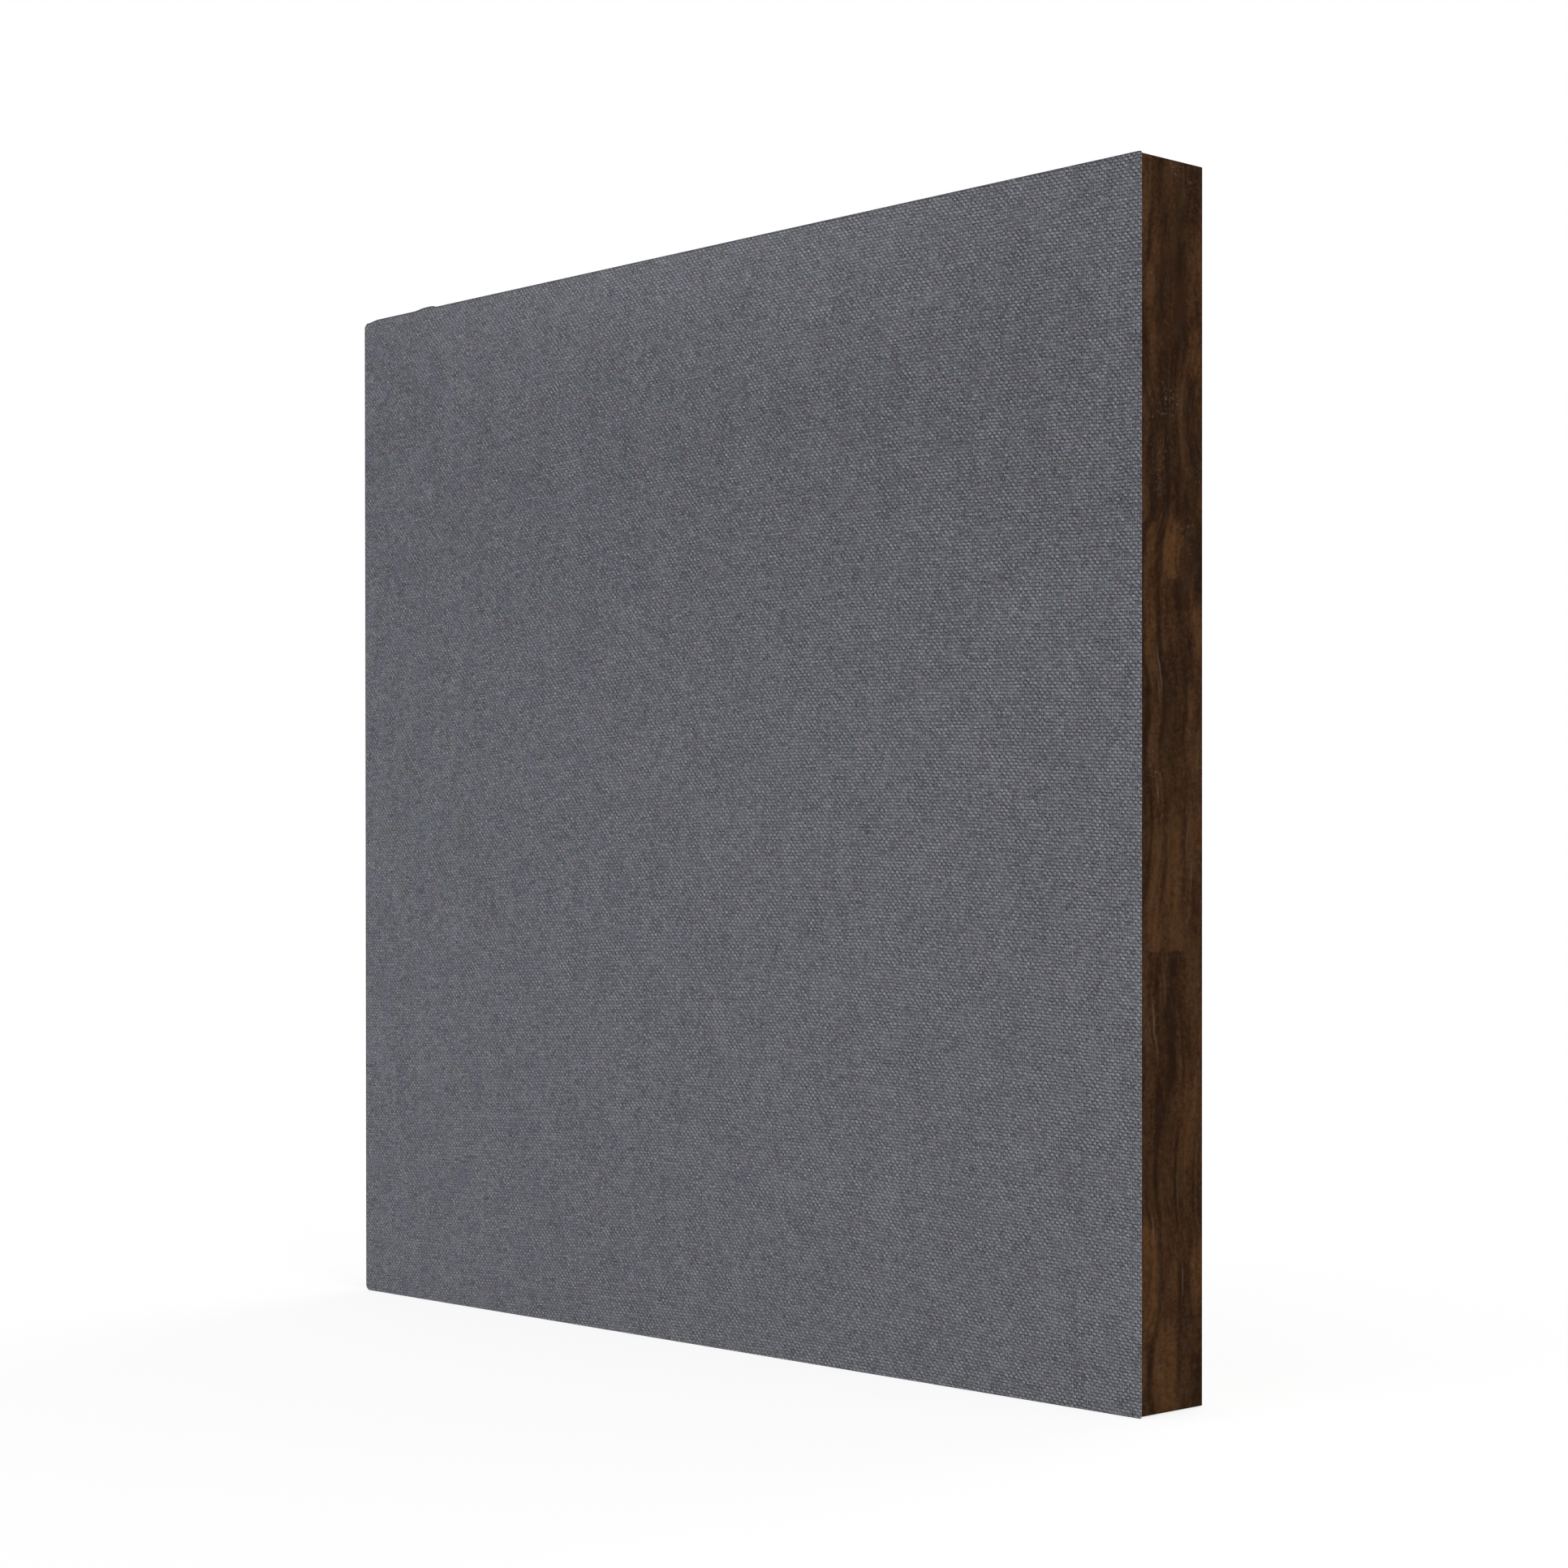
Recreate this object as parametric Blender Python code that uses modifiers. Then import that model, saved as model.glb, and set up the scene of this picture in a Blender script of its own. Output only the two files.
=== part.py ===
# Acoustic tile: a mitred walnut frame round a fibre core, with one cloth over its whole front.
# Metres, +Z up. The cloth faces -Y, the back faces +Y, and the frame stands on its bottom rail at Z = 0.
# The origin lies under the middle of the tile, in width and in depth.

import math

import bmesh
import bpy
from mathutils import Matrix, Vector

# Frame
FRAME_WIDTH = 0.600
FRAME_HEIGHT = 0.600
RAIL_DEPTH = 0.048
RAIL_THICK = 0.016
REBATE_LIP = 0.008  # what is left of a rail's thickness beside the rebate
ARRIS_RADIUS = 0.0007
INNER_EASE = 0.0010
MITRE_KEY_END_WOOD = 0.0045  # the wood left past each end of a key
MITRE_KEY_WIDTH = 0.012
MITRE_KEY_THICK = 0.004
MITRE_KEY_TIP = 0.0020  # the flat at each end of a key
MITRE_KEY_INSET = 0.009  # from the outer faces to the middle of a key

# The gap between two pieces that seat on each other
FIT = 0.0003

# Cloth, core and dust cloth
CLOTH_THICK = 0.0006
CLOTH_PROUD = 0.0007  # how far the cloth stands past the rails at the sides and the top
CLOTH_CORNER_LEFT = 0.0040
CLOTH_CORNER_RIGHT = 0.0010
CORE_SIDE_GAP = 0.0004
CORE_EASE = 0.0020
SCRIM_THICK = 0.0005
SCRIM_EDGE_GAP = 0.0010  # from the lip of the rebate

# Plywood in the rebate
PLY_THICK = 0.006
PLY_EASE = 0.0005
GUSSET_LEG = 0.110
GUSSET_TIP = 0.016  # the blunt end of each leg
BATTEN_WIDTH = 0.040

# Keyhole hangers
PLATE_THICK = 0.0015
PLATE_WIDTH = 0.018
PLATE_LENGTH = 0.044
PLATE_CORNER = 0.0030
PLATE_RECESS = 0.0003  # how far the plates stay inside the back of the frame
PLATE_INSET_X = 0.030  # from the side of the frame to the middle of a plate
PLATE_INSET_Z = 0.045  # from the top or bottom of the frame to the middle of a plate
PLATE_SCREW_END = 0.0045  # from the end of a plate to the middle of its screw
HEAD_HOLE_RADIUS = 0.0050
SLOT_WIDTH = 0.0046
SLOT_TRAVEL = 0.010
POCKET_CLEAR = 0.0010  # round the head hole, for the head of the hanging screw

# Countersunk screws of the plywood
SCREW_LENGTH = 0.020
SCREW_HEAD_RADIUS = 0.0034
SCREW_HEAD_DEPTH = 0.0020
SCREW_SHANK_RADIUS = 0.0017
SCREW_POINT = 0.0030
GUSSET_SCREW_NEAR = 0.028  # from a gusset's square corner, along each leg
GUSSET_SCREW_END = 0.022  # from the end of each leg
BATTEN_SCREW_EDGE = 0.010  # from the batten's long edges

# Countersunk screws of the keyhole hangers
PLATE_SCREW_COVER = 0.0013  # the plywood left past their points
PLATE_SCREW_HEAD_RADIUS = 0.0030
PLATE_SCREW_HEAD_DEPTH = 0.0012
PLATE_SCREW_SHANK_RADIUS = 0.0014
PLATE_SCREW_POINT = 0.0018

# What both kinds of screw share
SCREW_RIM = 0.0002
RECESS_REACH = 0.0013  # half the length of the cross recess
RECESS_ARM = 0.0004  # half the width of its arms
RECESS_DEPTH = 0.0009
SCREW_SIDES = 10

# How finely the shapes are made
ARC_STEPS = 5  # of a quarter turn at a corner
ARRIS_STEPS = 3
ROUND_STEPS = 10  # of the half turn at the end of a pocket
HEAD_HOLE_STEPS = 15
SHARP_ANGLE = 35  # degrees, for the shading of the screws
CUT_PAST = 0.001  # how far a cutter stands past the face it opens
WELD = 0.00001
FLAT = math.radians(0.5)  # faces that meet at less than this are one face

# Places that follow from the sizes
HALF_WIDTH = FRAME_WIDTH / 2
HALF_HEIGHT = FRAME_HEIGHT / 2
FRONT_Y = -(CLOTH_THICK + FIT + RAIL_DEPTH) / 2
RAIL_FRONT_Y = FRONT_Y + CLOTH_THICK + FIT
BACK_Y = RAIL_FRONT_Y + RAIL_DEPTH
PLATE_Y = BACK_Y - PLATE_RECESS - PLATE_THICK
PLY_Y = PLATE_Y - FIT - PLY_THICK
SCRIM_Y = PLY_Y - FIT - SCRIM_THICK
LEDGE_Y = SCRIM_Y - FIT
LEDGE_MIDDLE = (REBATE_LIP + RAIL_THICK) / 2  # from the outer face
MITRE_KEY_LENGTH = LEDGE_Y - RAIL_FRONT_Y - 2 * MITRE_KEY_END_WOOD
PLATE_SCREW_LENGTH = PLATE_THICK + FIT + PLY_THICK - PLATE_SCREW_COVER
CORNERS = {"top_left": (-1, 1), "top_right": (1, 1), "bottom_left": (-1, -1), "bottom_right": (1, -1)}
FACE_BACK = Matrix.Rotation(-math.pi / 2, 4, "X")  # turns a piece's own +Z to the back of the tile


# Scene and finishes

def clear_scene():
    for item in list(bpy.data.objects):
        bpy.data.objects.remove(item)
    for group in list(bpy.data.collections):
        bpy.data.collections.remove(group)


def new_collection(name):
    group = bpy.data.collections.new(name)
    bpy.context.scene.collection.children.link(group)
    return group


def finish(name, colour, roughness, metallic=0.0):
    material = bpy.data.materials.new(name)
    material.use_nodes = True
    shader = material.node_tree.nodes["Principled BSDF"]
    shader.inputs["Base Color"].default_value = (*colour, 1.0)
    shader.inputs["Roughness"].default_value = roughness
    shader.inputs["Metallic"].default_value = metallic
    return material


# Tools that make meshes

def mesh_of(guide):
    """The welded mesh of a guide object, which is removed."""
    bpy.context.scene.collection.objects.link(guide)
    depsgraph = bpy.context.evaluated_depsgraph_get()
    mesh = bpy.data.meshes.new_from_object(guide.evaluated_get(depsgraph))
    bpy.data.objects.remove(guide)
    work = bmesh.new()
    work.from_mesh(mesh)
    bmesh.ops.remove_doubles(work, verts=work.verts, dist=WELD)
    bmesh.ops.dissolve_limit(work, angle_limit=FLAT, verts=work.verts, edges=work.edges)
    bmesh.ops.recalc_face_normals(work, faces=work.faces)
    work.to_mesh(mesh)
    work.free()
    return mesh


def extruded(outlines, thickness):
    """A flat solid in XY, half its thickness on each side. Outlines after the first are holes."""
    curve = bpy.data.curves.new("outline", "CURVE")
    curve.dimensions = "2D"
    curve.fill_mode = "BOTH"
    curve.extrude = thickness / 2
    for outline in outlines:
        spline = curve.splines.new("POLY")
        spline.points.add(len(outline) - 1)
        for point, (x, y) in zip(spline.points, outline):
            point.co = (x, y, 0, 1)
        spline.use_cyclic_u = True
    return mesh_of(bpy.data.objects.new("outline", curve))


def turned(profile):
    """A round solid about Z from (radius, height) pairs, given from its top down the outer side."""
    mesh = bpy.data.meshes.new("profile")
    edges = [(i, i + 1) for i in range(len(profile) - 1)]
    mesh.from_pydata([(radius, 0, height) for radius, height in profile], edges, [])
    guide = bpy.data.objects.new("profile", mesh)
    spin = guide.modifiers.new("Screw", "SCREW")
    spin.steps = SCREW_SIDES
    spin.render_steps = SCREW_SIDES
    spin.use_merge_vertices = True
    spin.merge_threshold = WELD
    return mesh_of(guide)


def box(low, high):
    """A box between two corners, from a cube."""
    low, high = Vector(low), Vector(high)
    work = bmesh.new()
    bmesh.ops.create_cube(work, size=1)
    bmesh.ops.scale(work, vec=high - low, verts=work.verts)
    bmesh.ops.translate(work, vec=(high + low) / 2, verts=work.verts)
    mesh = bpy.data.meshes.new("box")
    work.to_mesh(mesh)
    work.free()
    return mesh


def copies(unit, places):
    """One mesh that holds a copy of the unit at each place."""
    work = bmesh.new()
    for place in places:
        moved = unit.copy()
        moved.transform(place)
        work.from_mesh(moved)
        bpy.data.meshes.remove(moved)
    mesh = bpy.data.meshes.new("copies")
    work.to_mesh(mesh)
    work.free()
    return mesh


def joined(meshes):
    """One mesh that holds all the given ones, which don't touch."""
    work = bmesh.new()
    for mesh in meshes:
        work.from_mesh(mesh)
    whole = bpy.data.meshes.new("joined")
    work.to_mesh(whole)
    work.free()
    return whole


def add_piece(name, mesh, material, place):
    """A piece at its place. Pieces that are alike share one mesh."""
    if not mesh.materials:
        mesh.materials.append(material)
    piece = bpy.data.objects.new(name, mesh)
    piece.location = place.to_translation()
    piece.rotation_euler = place.to_euler()
    tile.objects.link(piece)
    return piece


def add_cutter(name, mesh):
    cutter = bpy.data.objects.new(name, mesh)
    cutter.hide_render = True
    cutter.display_type = "WIRE"
    cutters.objects.link(cutter)
    return cutter


def cut(piece, cutter):
    change = piece.modifiers.new(cutter.name, "BOOLEAN")
    change.operation = "DIFFERENCE"
    change.solver = "EXACT"
    change.object = cutter


def ease(piece, width):
    change = piece.modifiers.new("Ease", "BEVEL")
    change.width = width
    change.segments = 1
    change.limit_method = "ANGLE"


def shade_round(mesh):
    mesh.shade_smooth()
    mesh.set_sharp_from_angle(angle=math.radians(SHARP_ANGLE))


# Outlines

def arc(centre, radius, start, end, steps=ARC_STEPS):
    """Points on a circle from one angle to another, in degrees, both ends included."""
    angles = [math.radians(start + (end - start) * i / steps) for i in range(steps + 1)]
    return [(centre[0] + radius * math.cos(a), centre[1] + radius * math.sin(a)) for a in angles]


def rounded_rectangle(left, right, low, high, left_radius, right_radius):
    return (
        arc((left + left_radius, low + left_radius), left_radius, 180, 270)
        + arc((right - right_radius, low + right_radius), right_radius, 270, 360)
        + arc((right - right_radius, high - right_radius), right_radius, 0, 90)
        + arc((left + left_radius, high - left_radius), left_radius, 90, 180)
    )


def pocket_outline():
    """A slot with round ends that stands upright, as long as the hanging screw's travel."""
    radius = HEAD_HOLE_RADIUS + POCKET_CLEAR
    top = arc((0, SLOT_TRAVEL / 2), radius, 0, 180, ROUND_STEPS)
    return top + arc((0, -SLOT_TRAVEL / 2), radius, 180, 360, ROUND_STEPS)


def keyhole_outline():
    """A round hole for the screw's head, with a slot for its shank that runs up from it."""
    half_slot = SLOT_WIDTH / 2
    mouth = math.degrees(math.asin(half_slot / HEAD_HOLE_RADIUS))
    head = arc((0, -SLOT_TRAVEL / 2), HEAD_HOLE_RADIUS, 90 + mouth, 450 - mouth, HEAD_HOLE_STEPS)
    return head + arc((0, SLOT_TRAVEL / 2), half_slot, 0, 180)


def key_outline(grow):
    """The lens shape of a mitre key, with its width along X, its length along Y and blunt ends."""
    bow = (MITRE_KEY_LENGTH**2 + MITRE_KEY_WIDTH**2) / (4 * MITRE_KEY_WIDTH)
    middle = bow - MITRE_KEY_WIDTH / 2
    reach = math.degrees(math.acos((middle + MITRE_KEY_TIP / 2) / bow))
    right = arc((-middle, 0), bow + grow, -reach, reach)
    left = arc((middle, 0), bow + grow, 180 - reach, 180 + reach)
    return right + left


def gusset_outline(side, up):
    """A corner plate with its square corner at zero, which reaches towards the middle of the tile."""
    inward = [(0, 0), (GUSSET_LEG, 0), (GUSSET_LEG, GUSSET_TIP), (GUSSET_TIP, GUSSET_LEG), (0, GUSSET_LEG)]
    return [(-side * x, -up * z) for x, z in inward]


def screw_profile(length, head_radius, head_depth, shank_radius, point, grow=0.0, rise=0.0):
    return [
        (0, rise),
        (head_radius + grow, rise),
        (head_radius + grow, -SCREW_RIM),
        (shank_radius + grow, -head_depth),
        (shank_radius + grow, point - length),
        (0, -length - grow),
    ]


# Places

def at(x, y, z, turn=None):
    """A place in the tile, with an optional turn before it."""
    moved = Matrix.Translation((x, y, z))
    return moved @ turn if turn is not None else moved


def upright(x, y, z):
    """The place of a flat solid whose own Y becomes the tile's Z."""
    return at(x, y, z, Matrix.Rotation(math.pi / 2, 4, "X"))


def corner(side, up, in_x, in_z):
    """A point at these distances from the frame's outer faces at one of its corners."""
    return side * (HALF_WIDTH - in_x), HALF_HEIGHT + up * (HALF_HEIGHT - in_z)


def ply_screw_places():
    """The screws that hold the corner plates and the batten to the ledges."""
    edge = REBATE_LIP + FIT
    places = {}
    for name, (side, up) in CORNERS.items():
        near, far = edge + GUSSET_SCREW_NEAR, edge + GUSSET_LEG - GUSSET_SCREW_END
        spots = {
            "side_near": (LEDGE_MIDDLE, near),
            "side_far": (LEDGE_MIDDLE, far),
            "end_near": (near, LEDGE_MIDDLE),
            "end_far": (far, LEDGE_MIDDLE),
        }
        for spot, (in_x, in_z) in spots.items():
            x, z = corner(side, up, in_x, in_z)
            places[f"gusset_screw_{name}_{spot}"] = at(x, PLY_Y + PLY_THICK, z, FACE_BACK)
    for hand, side in (("left", -1), ("right", 1)):
        for level, up in (("lower", -1), ("upper", 1)):
            x = side * (HALF_WIDTH - LEDGE_MIDDLE)
            z = HALF_HEIGHT + up * (BATTEN_WIDTH / 2 - BATTEN_SCREW_EDGE)
            places[f"batten_screw_{hand}_{level}"] = at(x, PLY_Y + PLY_THICK, z, FACE_BACK)
    return places


def plate_middle(side, up):
    x, z = corner(side, up, PLATE_INSET_X, PLATE_INSET_Z)
    return x, PLATE_Y + PLATE_THICK / 2, z


def pocket_places():
    places = []
    for side, up in CORNERS.values():
        x, _, z = plate_middle(side, up)
        places.append(upright(x, PLY_Y + PLY_THICK / 2, z))
    return places


def plate_screw_places():
    places = {}
    for name, (side, up) in CORNERS.items():
        x, y, z = plate_middle(side, up)
        for level, above in (("lower", -1), ("upper", 1)):
            height = z + above * (PLATE_LENGTH / 2 - PLATE_SCREW_END)
            places[f"plate_screw_{name}_{level}"] = at(x, y + PLATE_THICK / 2, height, FACE_BACK)
    return places


def key_places():
    """Mitre keys across the corners: their own Z lies along the mitre, their own Y through the depth."""
    y = (RAIL_FRONT_Y + LEDGE_Y) / 2
    places = {}
    for name, (side, up) in CORNERS.items():
        x, z = corner(side, up, MITRE_KEY_INSET, MITRE_KEY_INSET)
        places[name] = at(x, y, z, Matrix.Rotation(math.atan2(side, up), 4, "Y"))
    return places


# Meshes of the pieces

def rail_mesh(length):
    """A rail about its outer face: X through the depth, Y into the tile, Z along it, mitred at both ends."""
    ledge = LEDGE_Y - RAIL_FRONT_Y
    section = (
        arc((ARRIS_RADIUS, ARRIS_RADIUS), ARRIS_RADIUS, 180, 270, ARRIS_STEPS)
        + arc((RAIL_DEPTH - ARRIS_RADIUS, ARRIS_RADIUS), ARRIS_RADIUS, 270, 360, ARRIS_STEPS)
        + [(RAIL_DEPTH, REBATE_LIP), (ledge, REBATE_LIP), (ledge, RAIL_THICK)]
        + [(INNER_EASE, RAIL_THICK), (0, RAIL_THICK - INNER_EASE)]
    )
    mesh = extruded([section], length)
    mitre_gap = FIT / math.sqrt(2)  # measured along the rail, so half the fit is left square to the mitre
    for vertex in mesh.vertices:
        reach = length / 2 - vertex.co.y - mitre_gap
        vertex.co.z = math.copysign(reach, vertex.co.z)
    return mesh


def screw_mesh(profile):
    """A countersunk screw with its head's top at zero and a cross recess in it."""
    reach, arm = RECESS_REACH, RECESS_ARM
    quarter = [(reach, -arm), (reach, arm), (arm, arm)]
    cross = []
    for turn in range(4):
        spin = Matrix.Rotation(turn * math.pi / 2, 2)
        cross += [tuple(spin @ Vector(point)) for point in quarter]
    recess = add_cutter("recess", extruded([cross], 2 * RECESS_DEPTH))
    guide = bpy.data.objects.new("screw", turned(profile))
    cut(guide, recess)
    mesh = mesh_of(guide)
    bpy.data.objects.remove(recess)
    shade_round(mesh)
    return mesh


# Build

clear_scene()
tile = new_collection("acoustic_tile")
cutters = new_collection("cutters")

walnut = finish("walnut", (0.042, 0.020, 0.010), 0.45)
cloth = finish("cloth", (0.120, 0.123, 0.136), 0.95)
fibre = finish("fibre", (0.42, 0.40, 0.34), 0.95)
dust_cloth = finish("dust_cloth", (0.012, 0.012, 0.013), 0.9)
birch_ply = finish("birch_ply", (0.50, 0.34, 0.19), 0.6)
beech = finish("beech", (0.52, 0.34, 0.20), 0.6)
zinc = finish("zinc", (0.62, 0.62, 0.60), 0.35, 1.0)
black_screw = finish("black_screw", (0.020, 0.020, 0.022), 0.4, 0.8)

screw_sizes = (SCREW_LENGTH, SCREW_HEAD_RADIUS, SCREW_HEAD_DEPTH, SCREW_SHANK_RADIUS, SCREW_POINT)
plate_screw_sizes = (
    PLATE_SCREW_LENGTH,
    PLATE_SCREW_HEAD_RADIUS,
    PLATE_SCREW_HEAD_DEPTH,
    PLATE_SCREW_SHANK_RADIUS,
    PLATE_SCREW_POINT,
)

# Cutters: every hole is the piece that goes in it, grown by the fit
screw_cut = turned(screw_profile(*screw_sizes, grow=FIT, rise=CUT_PAST))
plate_screw_cut = turned(screw_profile(*plate_screw_sizes, grow=FIT, rise=CUT_PAST))
key_cut = extruded([key_outline(FIT)], MITRE_KEY_THICK + 2 * FIT)
fixing_holes = add_cutter(
    "fixing_holes",
    joined(
        [
            copies(screw_cut, ply_screw_places().values()),
            copies(key_cut, key_places().values()),
        ]
    ),
)
plate_screw_holes = add_cutter("plate_screw_holes", copies(plate_screw_cut, plate_screw_places().values()))
pocket = extruded([pocket_outline()], PLY_THICK + 2 * CUT_PAST)
pockets = add_cutter("pockets", copies(pocket, pocket_places()))

# The frame's rails, each seen from the middle of its outer face
rail_sides = {
    "rail_top": (FRAME_WIDTH, (0, 0, -1), (0, 0, FRAME_HEIGHT)),
    "rail_bottom": (FRAME_WIDTH, (0, 0, 1), (0, 0, 0)),
    "rail_left": (FRAME_HEIGHT, (1, 0, 0), (-HALF_WIDTH, 0, HALF_HEIGHT)),
    "rail_right": (FRAME_HEIGHT, (-1, 0, 0), (HALF_WIDTH, 0, HALF_HEIGHT)),
}
for name, (length, inward, middle) in rail_sides.items():
    depth = Vector((0, 1, 0))
    inward = Vector(inward)
    turn = Matrix((depth, inward, depth.cross(inward))).transposed().to_4x4()
    rail = add_piece(name, rail_mesh(length), walnut, at(middle[0], RAIL_FRONT_Y, middle[2], turn))
    cut(rail, fixing_holes)

for name, place in key_places().items():
    add_piece(f"mitre_key_{name}", extruded([key_outline(0)], MITRE_KEY_THICK), beech, place)

# The cloth over the front, level with the bottom of the frame so that the tile stands on its rails
cloth_outline = rounded_rectangle(
    -HALF_WIDTH - CLOTH_PROUD,
    HALF_WIDTH + CLOTH_PROUD,
    0,
    FRAME_HEIGHT + CLOTH_PROUD,
    CLOTH_CORNER_LEFT,
    CLOTH_CORNER_RIGHT,
)
add_piece("face_cloth", extruded([cloth_outline], CLOTH_THICK), cloth, upright(0, FRONT_Y + CLOTH_THICK / 2, 0))

# The fibre core between the rails, level with their front faces and their ledges
core_x = HALF_WIDTH - RAIL_THICK - CORE_SIDE_GAP
core_z = HALF_HEIGHT - RAIL_THICK - CORE_SIDE_GAP
core_half_depth = (LEDGE_Y - RAIL_FRONT_Y) / 2
core_mesh = box((-core_x, -core_half_depth, -core_z), (core_x, core_half_depth, core_z))
core = add_piece("fibre_core", core_mesh, fibre, at(0, RAIL_FRONT_Y + core_half_depth, HALF_HEIGHT))
ease(core, CORE_EASE)

# The dust cloth over the core's back, which laps the ledges
scrim_x = HALF_WIDTH - REBATE_LIP - SCRIM_EDGE_GAP
scrim_z = HALF_HEIGHT - REBATE_LIP - SCRIM_EDGE_GAP
scrim_mesh = box((-scrim_x, -SCRIM_THICK / 2, -scrim_z), (scrim_x, SCRIM_THICK / 2, scrim_z))
scrim = add_piece("rear_scrim", scrim_mesh, dust_cloth, at(0, SCRIM_Y + SCRIM_THICK / 2, HALF_HEIGHT))
cut(scrim, fixing_holes)

# Corner plates, each with the pocket that a hanging screw's head runs in, and their keyhole hangers
half_wide, half_long = PLATE_WIDTH / 2, PLATE_LENGTH / 2
plate_outline = rounded_rectangle(-half_wide, half_wide, -half_long, half_long, PLATE_CORNER, PLATE_CORNER)
for name, (side, up) in CORNERS.items():
    x, z = corner(side, up, REBATE_LIP + FIT, REBATE_LIP + FIT)
    mesh = extruded([gusset_outline(side, up)], PLY_THICK)
    gusset = add_piece(f"gusset_{name}", mesh, birch_ply, upright(x, PLY_Y + PLY_THICK / 2, z))
    ease(gusset, PLY_EASE)
    cut(gusset, pockets)
    cut(gusset, fixing_holes)
    cut(gusset, plate_screw_holes)

    mesh = extruded([plate_outline, keyhole_outline()], PLATE_THICK)
    plate = add_piece(f"keyhole_plate_{name}", mesh, zinc, upright(*plate_middle(side, up)))
    cut(plate, plate_screw_holes)

# The batten across the middle of the back
batten_x = HALF_WIDTH - REBATE_LIP - FIT
batten_mesh = box(
    (-batten_x, -PLY_THICK / 2, -BATTEN_WIDTH / 2), (batten_x, PLY_THICK / 2, BATTEN_WIDTH / 2)
)
batten = add_piece("cross_batten", batten_mesh, birch_ply, at(0, PLY_Y + PLY_THICK / 2, HALF_HEIGHT))
ease(batten, PLY_EASE)
cut(batten, fixing_holes)

# Screws
screw = screw_mesh(screw_profile(*screw_sizes))
for name, place in ply_screw_places().items():
    add_piece(name, screw, black_screw, place)

plate_screw = screw_mesh(screw_profile(*plate_screw_sizes))
for name, place in plate_screw_places().items():
    add_piece(name, plate_screw, zinc, place)
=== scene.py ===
import math

import bmesh
import bpy
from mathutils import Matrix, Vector, noise


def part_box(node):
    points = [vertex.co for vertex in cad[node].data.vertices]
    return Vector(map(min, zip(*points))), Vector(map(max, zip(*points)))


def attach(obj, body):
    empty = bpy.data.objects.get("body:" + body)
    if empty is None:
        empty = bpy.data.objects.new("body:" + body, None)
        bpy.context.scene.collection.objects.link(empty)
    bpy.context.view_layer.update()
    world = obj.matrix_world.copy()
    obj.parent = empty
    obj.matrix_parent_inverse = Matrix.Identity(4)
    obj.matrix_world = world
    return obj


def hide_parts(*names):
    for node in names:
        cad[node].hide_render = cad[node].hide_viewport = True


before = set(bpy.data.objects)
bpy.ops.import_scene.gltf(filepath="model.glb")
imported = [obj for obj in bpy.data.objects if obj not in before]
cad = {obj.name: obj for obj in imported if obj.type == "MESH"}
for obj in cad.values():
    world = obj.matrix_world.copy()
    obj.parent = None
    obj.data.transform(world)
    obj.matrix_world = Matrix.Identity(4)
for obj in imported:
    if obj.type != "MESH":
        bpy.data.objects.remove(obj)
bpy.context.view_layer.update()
body = "root"
print("frame loaded,", len(cad), "solids")

# where the pieces meet, read from the frame
clothLow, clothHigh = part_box("face_cloth")
railFront, railBack = (corner.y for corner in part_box("rail_right"))
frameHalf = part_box("rail_right")[1].x
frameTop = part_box("rail_top")[1].z
middle = frameTop / 2
scrimLow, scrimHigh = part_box("rear_scrim")
plyLow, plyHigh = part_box("cross_batten")


# small helpers for node trees

class Output:
    # one output of a node, of which sums and products can be made as of a plain number
    def __init__(self, socket):
        self.socket, self.node, self.tree = socket, socket.node, socket.id_data

    def of(self, name):
        # another output of the same node
        return Output(self.node.outputs[name])


def put(socket, value):
    # a link where the value is a node's output, a plain value otherwise
    if isinstance(value, Output):
        socket.id_data.links.new(value.socket, socket)
    elif socket.type == "RGBA":
        socket.default_value = (*value, 1.0)
    else:
        socket.default_value = value


def add(tree, kind, inputs=None, **settings):
    made = tree.nodes.new(kind)
    for name, value in settings.items():
        setattr(made, name, value)
    for name, value in (inputs or {}).items():
        put(made.inputs[name], value)
    return Output(made.outputs[0])


def treeOf(*values):
    return next(value.tree for value in values if isinstance(value, Output))


def calc(operation, *values):
    return add(treeOf(*values), "ShaderNodeMath", dict(enumerate(values)), operation=operation)


def useSign(name, operation):
    # lets a sign of arithmetic work with an output on either side of it
    setattr(Output, f"__{name}__", lambda first, second: calc(operation, first, second))
    setattr(Output, f"__r{name}__", lambda second, first: calc(operation, first, second))


signs = {"add": "ADD", "sub": "SUBTRACT", "mul": "MULTIPLY", "truediv": "DIVIDE", "pow": "POWER"}
for name, operation in signs.items():
    useSign(name, operation)
Output.__neg__ = lambda value: value * -1.0
Output.__abs__ = lambda value: calc("ABSOLUTE", value)
Output.__round__ = lambda value: calc("ROUND", value)


def join(x, y, z):
    return add(treeOf(x, y, z), "ShaderNodeCombineXYZ", {"X": x, "Y": y, "Z": z})


def split(vector):
    made = add(vector.tree, "ShaderNodeSeparateXYZ", {"Vector": vector})
    return [made.of(name) for name in "XYZ"]


def spread(value, low, high, newLow=0.0, newHigh=1.0, smooth=False):
    # moves a value from one range to another and keeps it there
    inputs = dict(enumerate((value, low, high, newLow, newHigh)))
    kind = "SMOOTHSTEP" if smooth else "LINEAR"
    return add(value.tree, "ShaderNodeMapRange", inputs, clamp=True, interpolation_type=kind)


def speckle(vector, scale, detail=2.0, roughness=0.5, between=None, strength=1.0):
    # a cloudy value, or how far it is between two limits
    inputs = {"Vector": vector, "Scale": scale, "Detail": detail, "Roughness": roughness}
    made = add(vector.tree, "ShaderNodeTexNoise", inputs)
    return spread(made, *between, 0.0, strength) if between else made


def mapped(vector, **settings):
    return add(vector.tree, "ShaderNodeMapping", {"Vector": vector, **settings})


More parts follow.
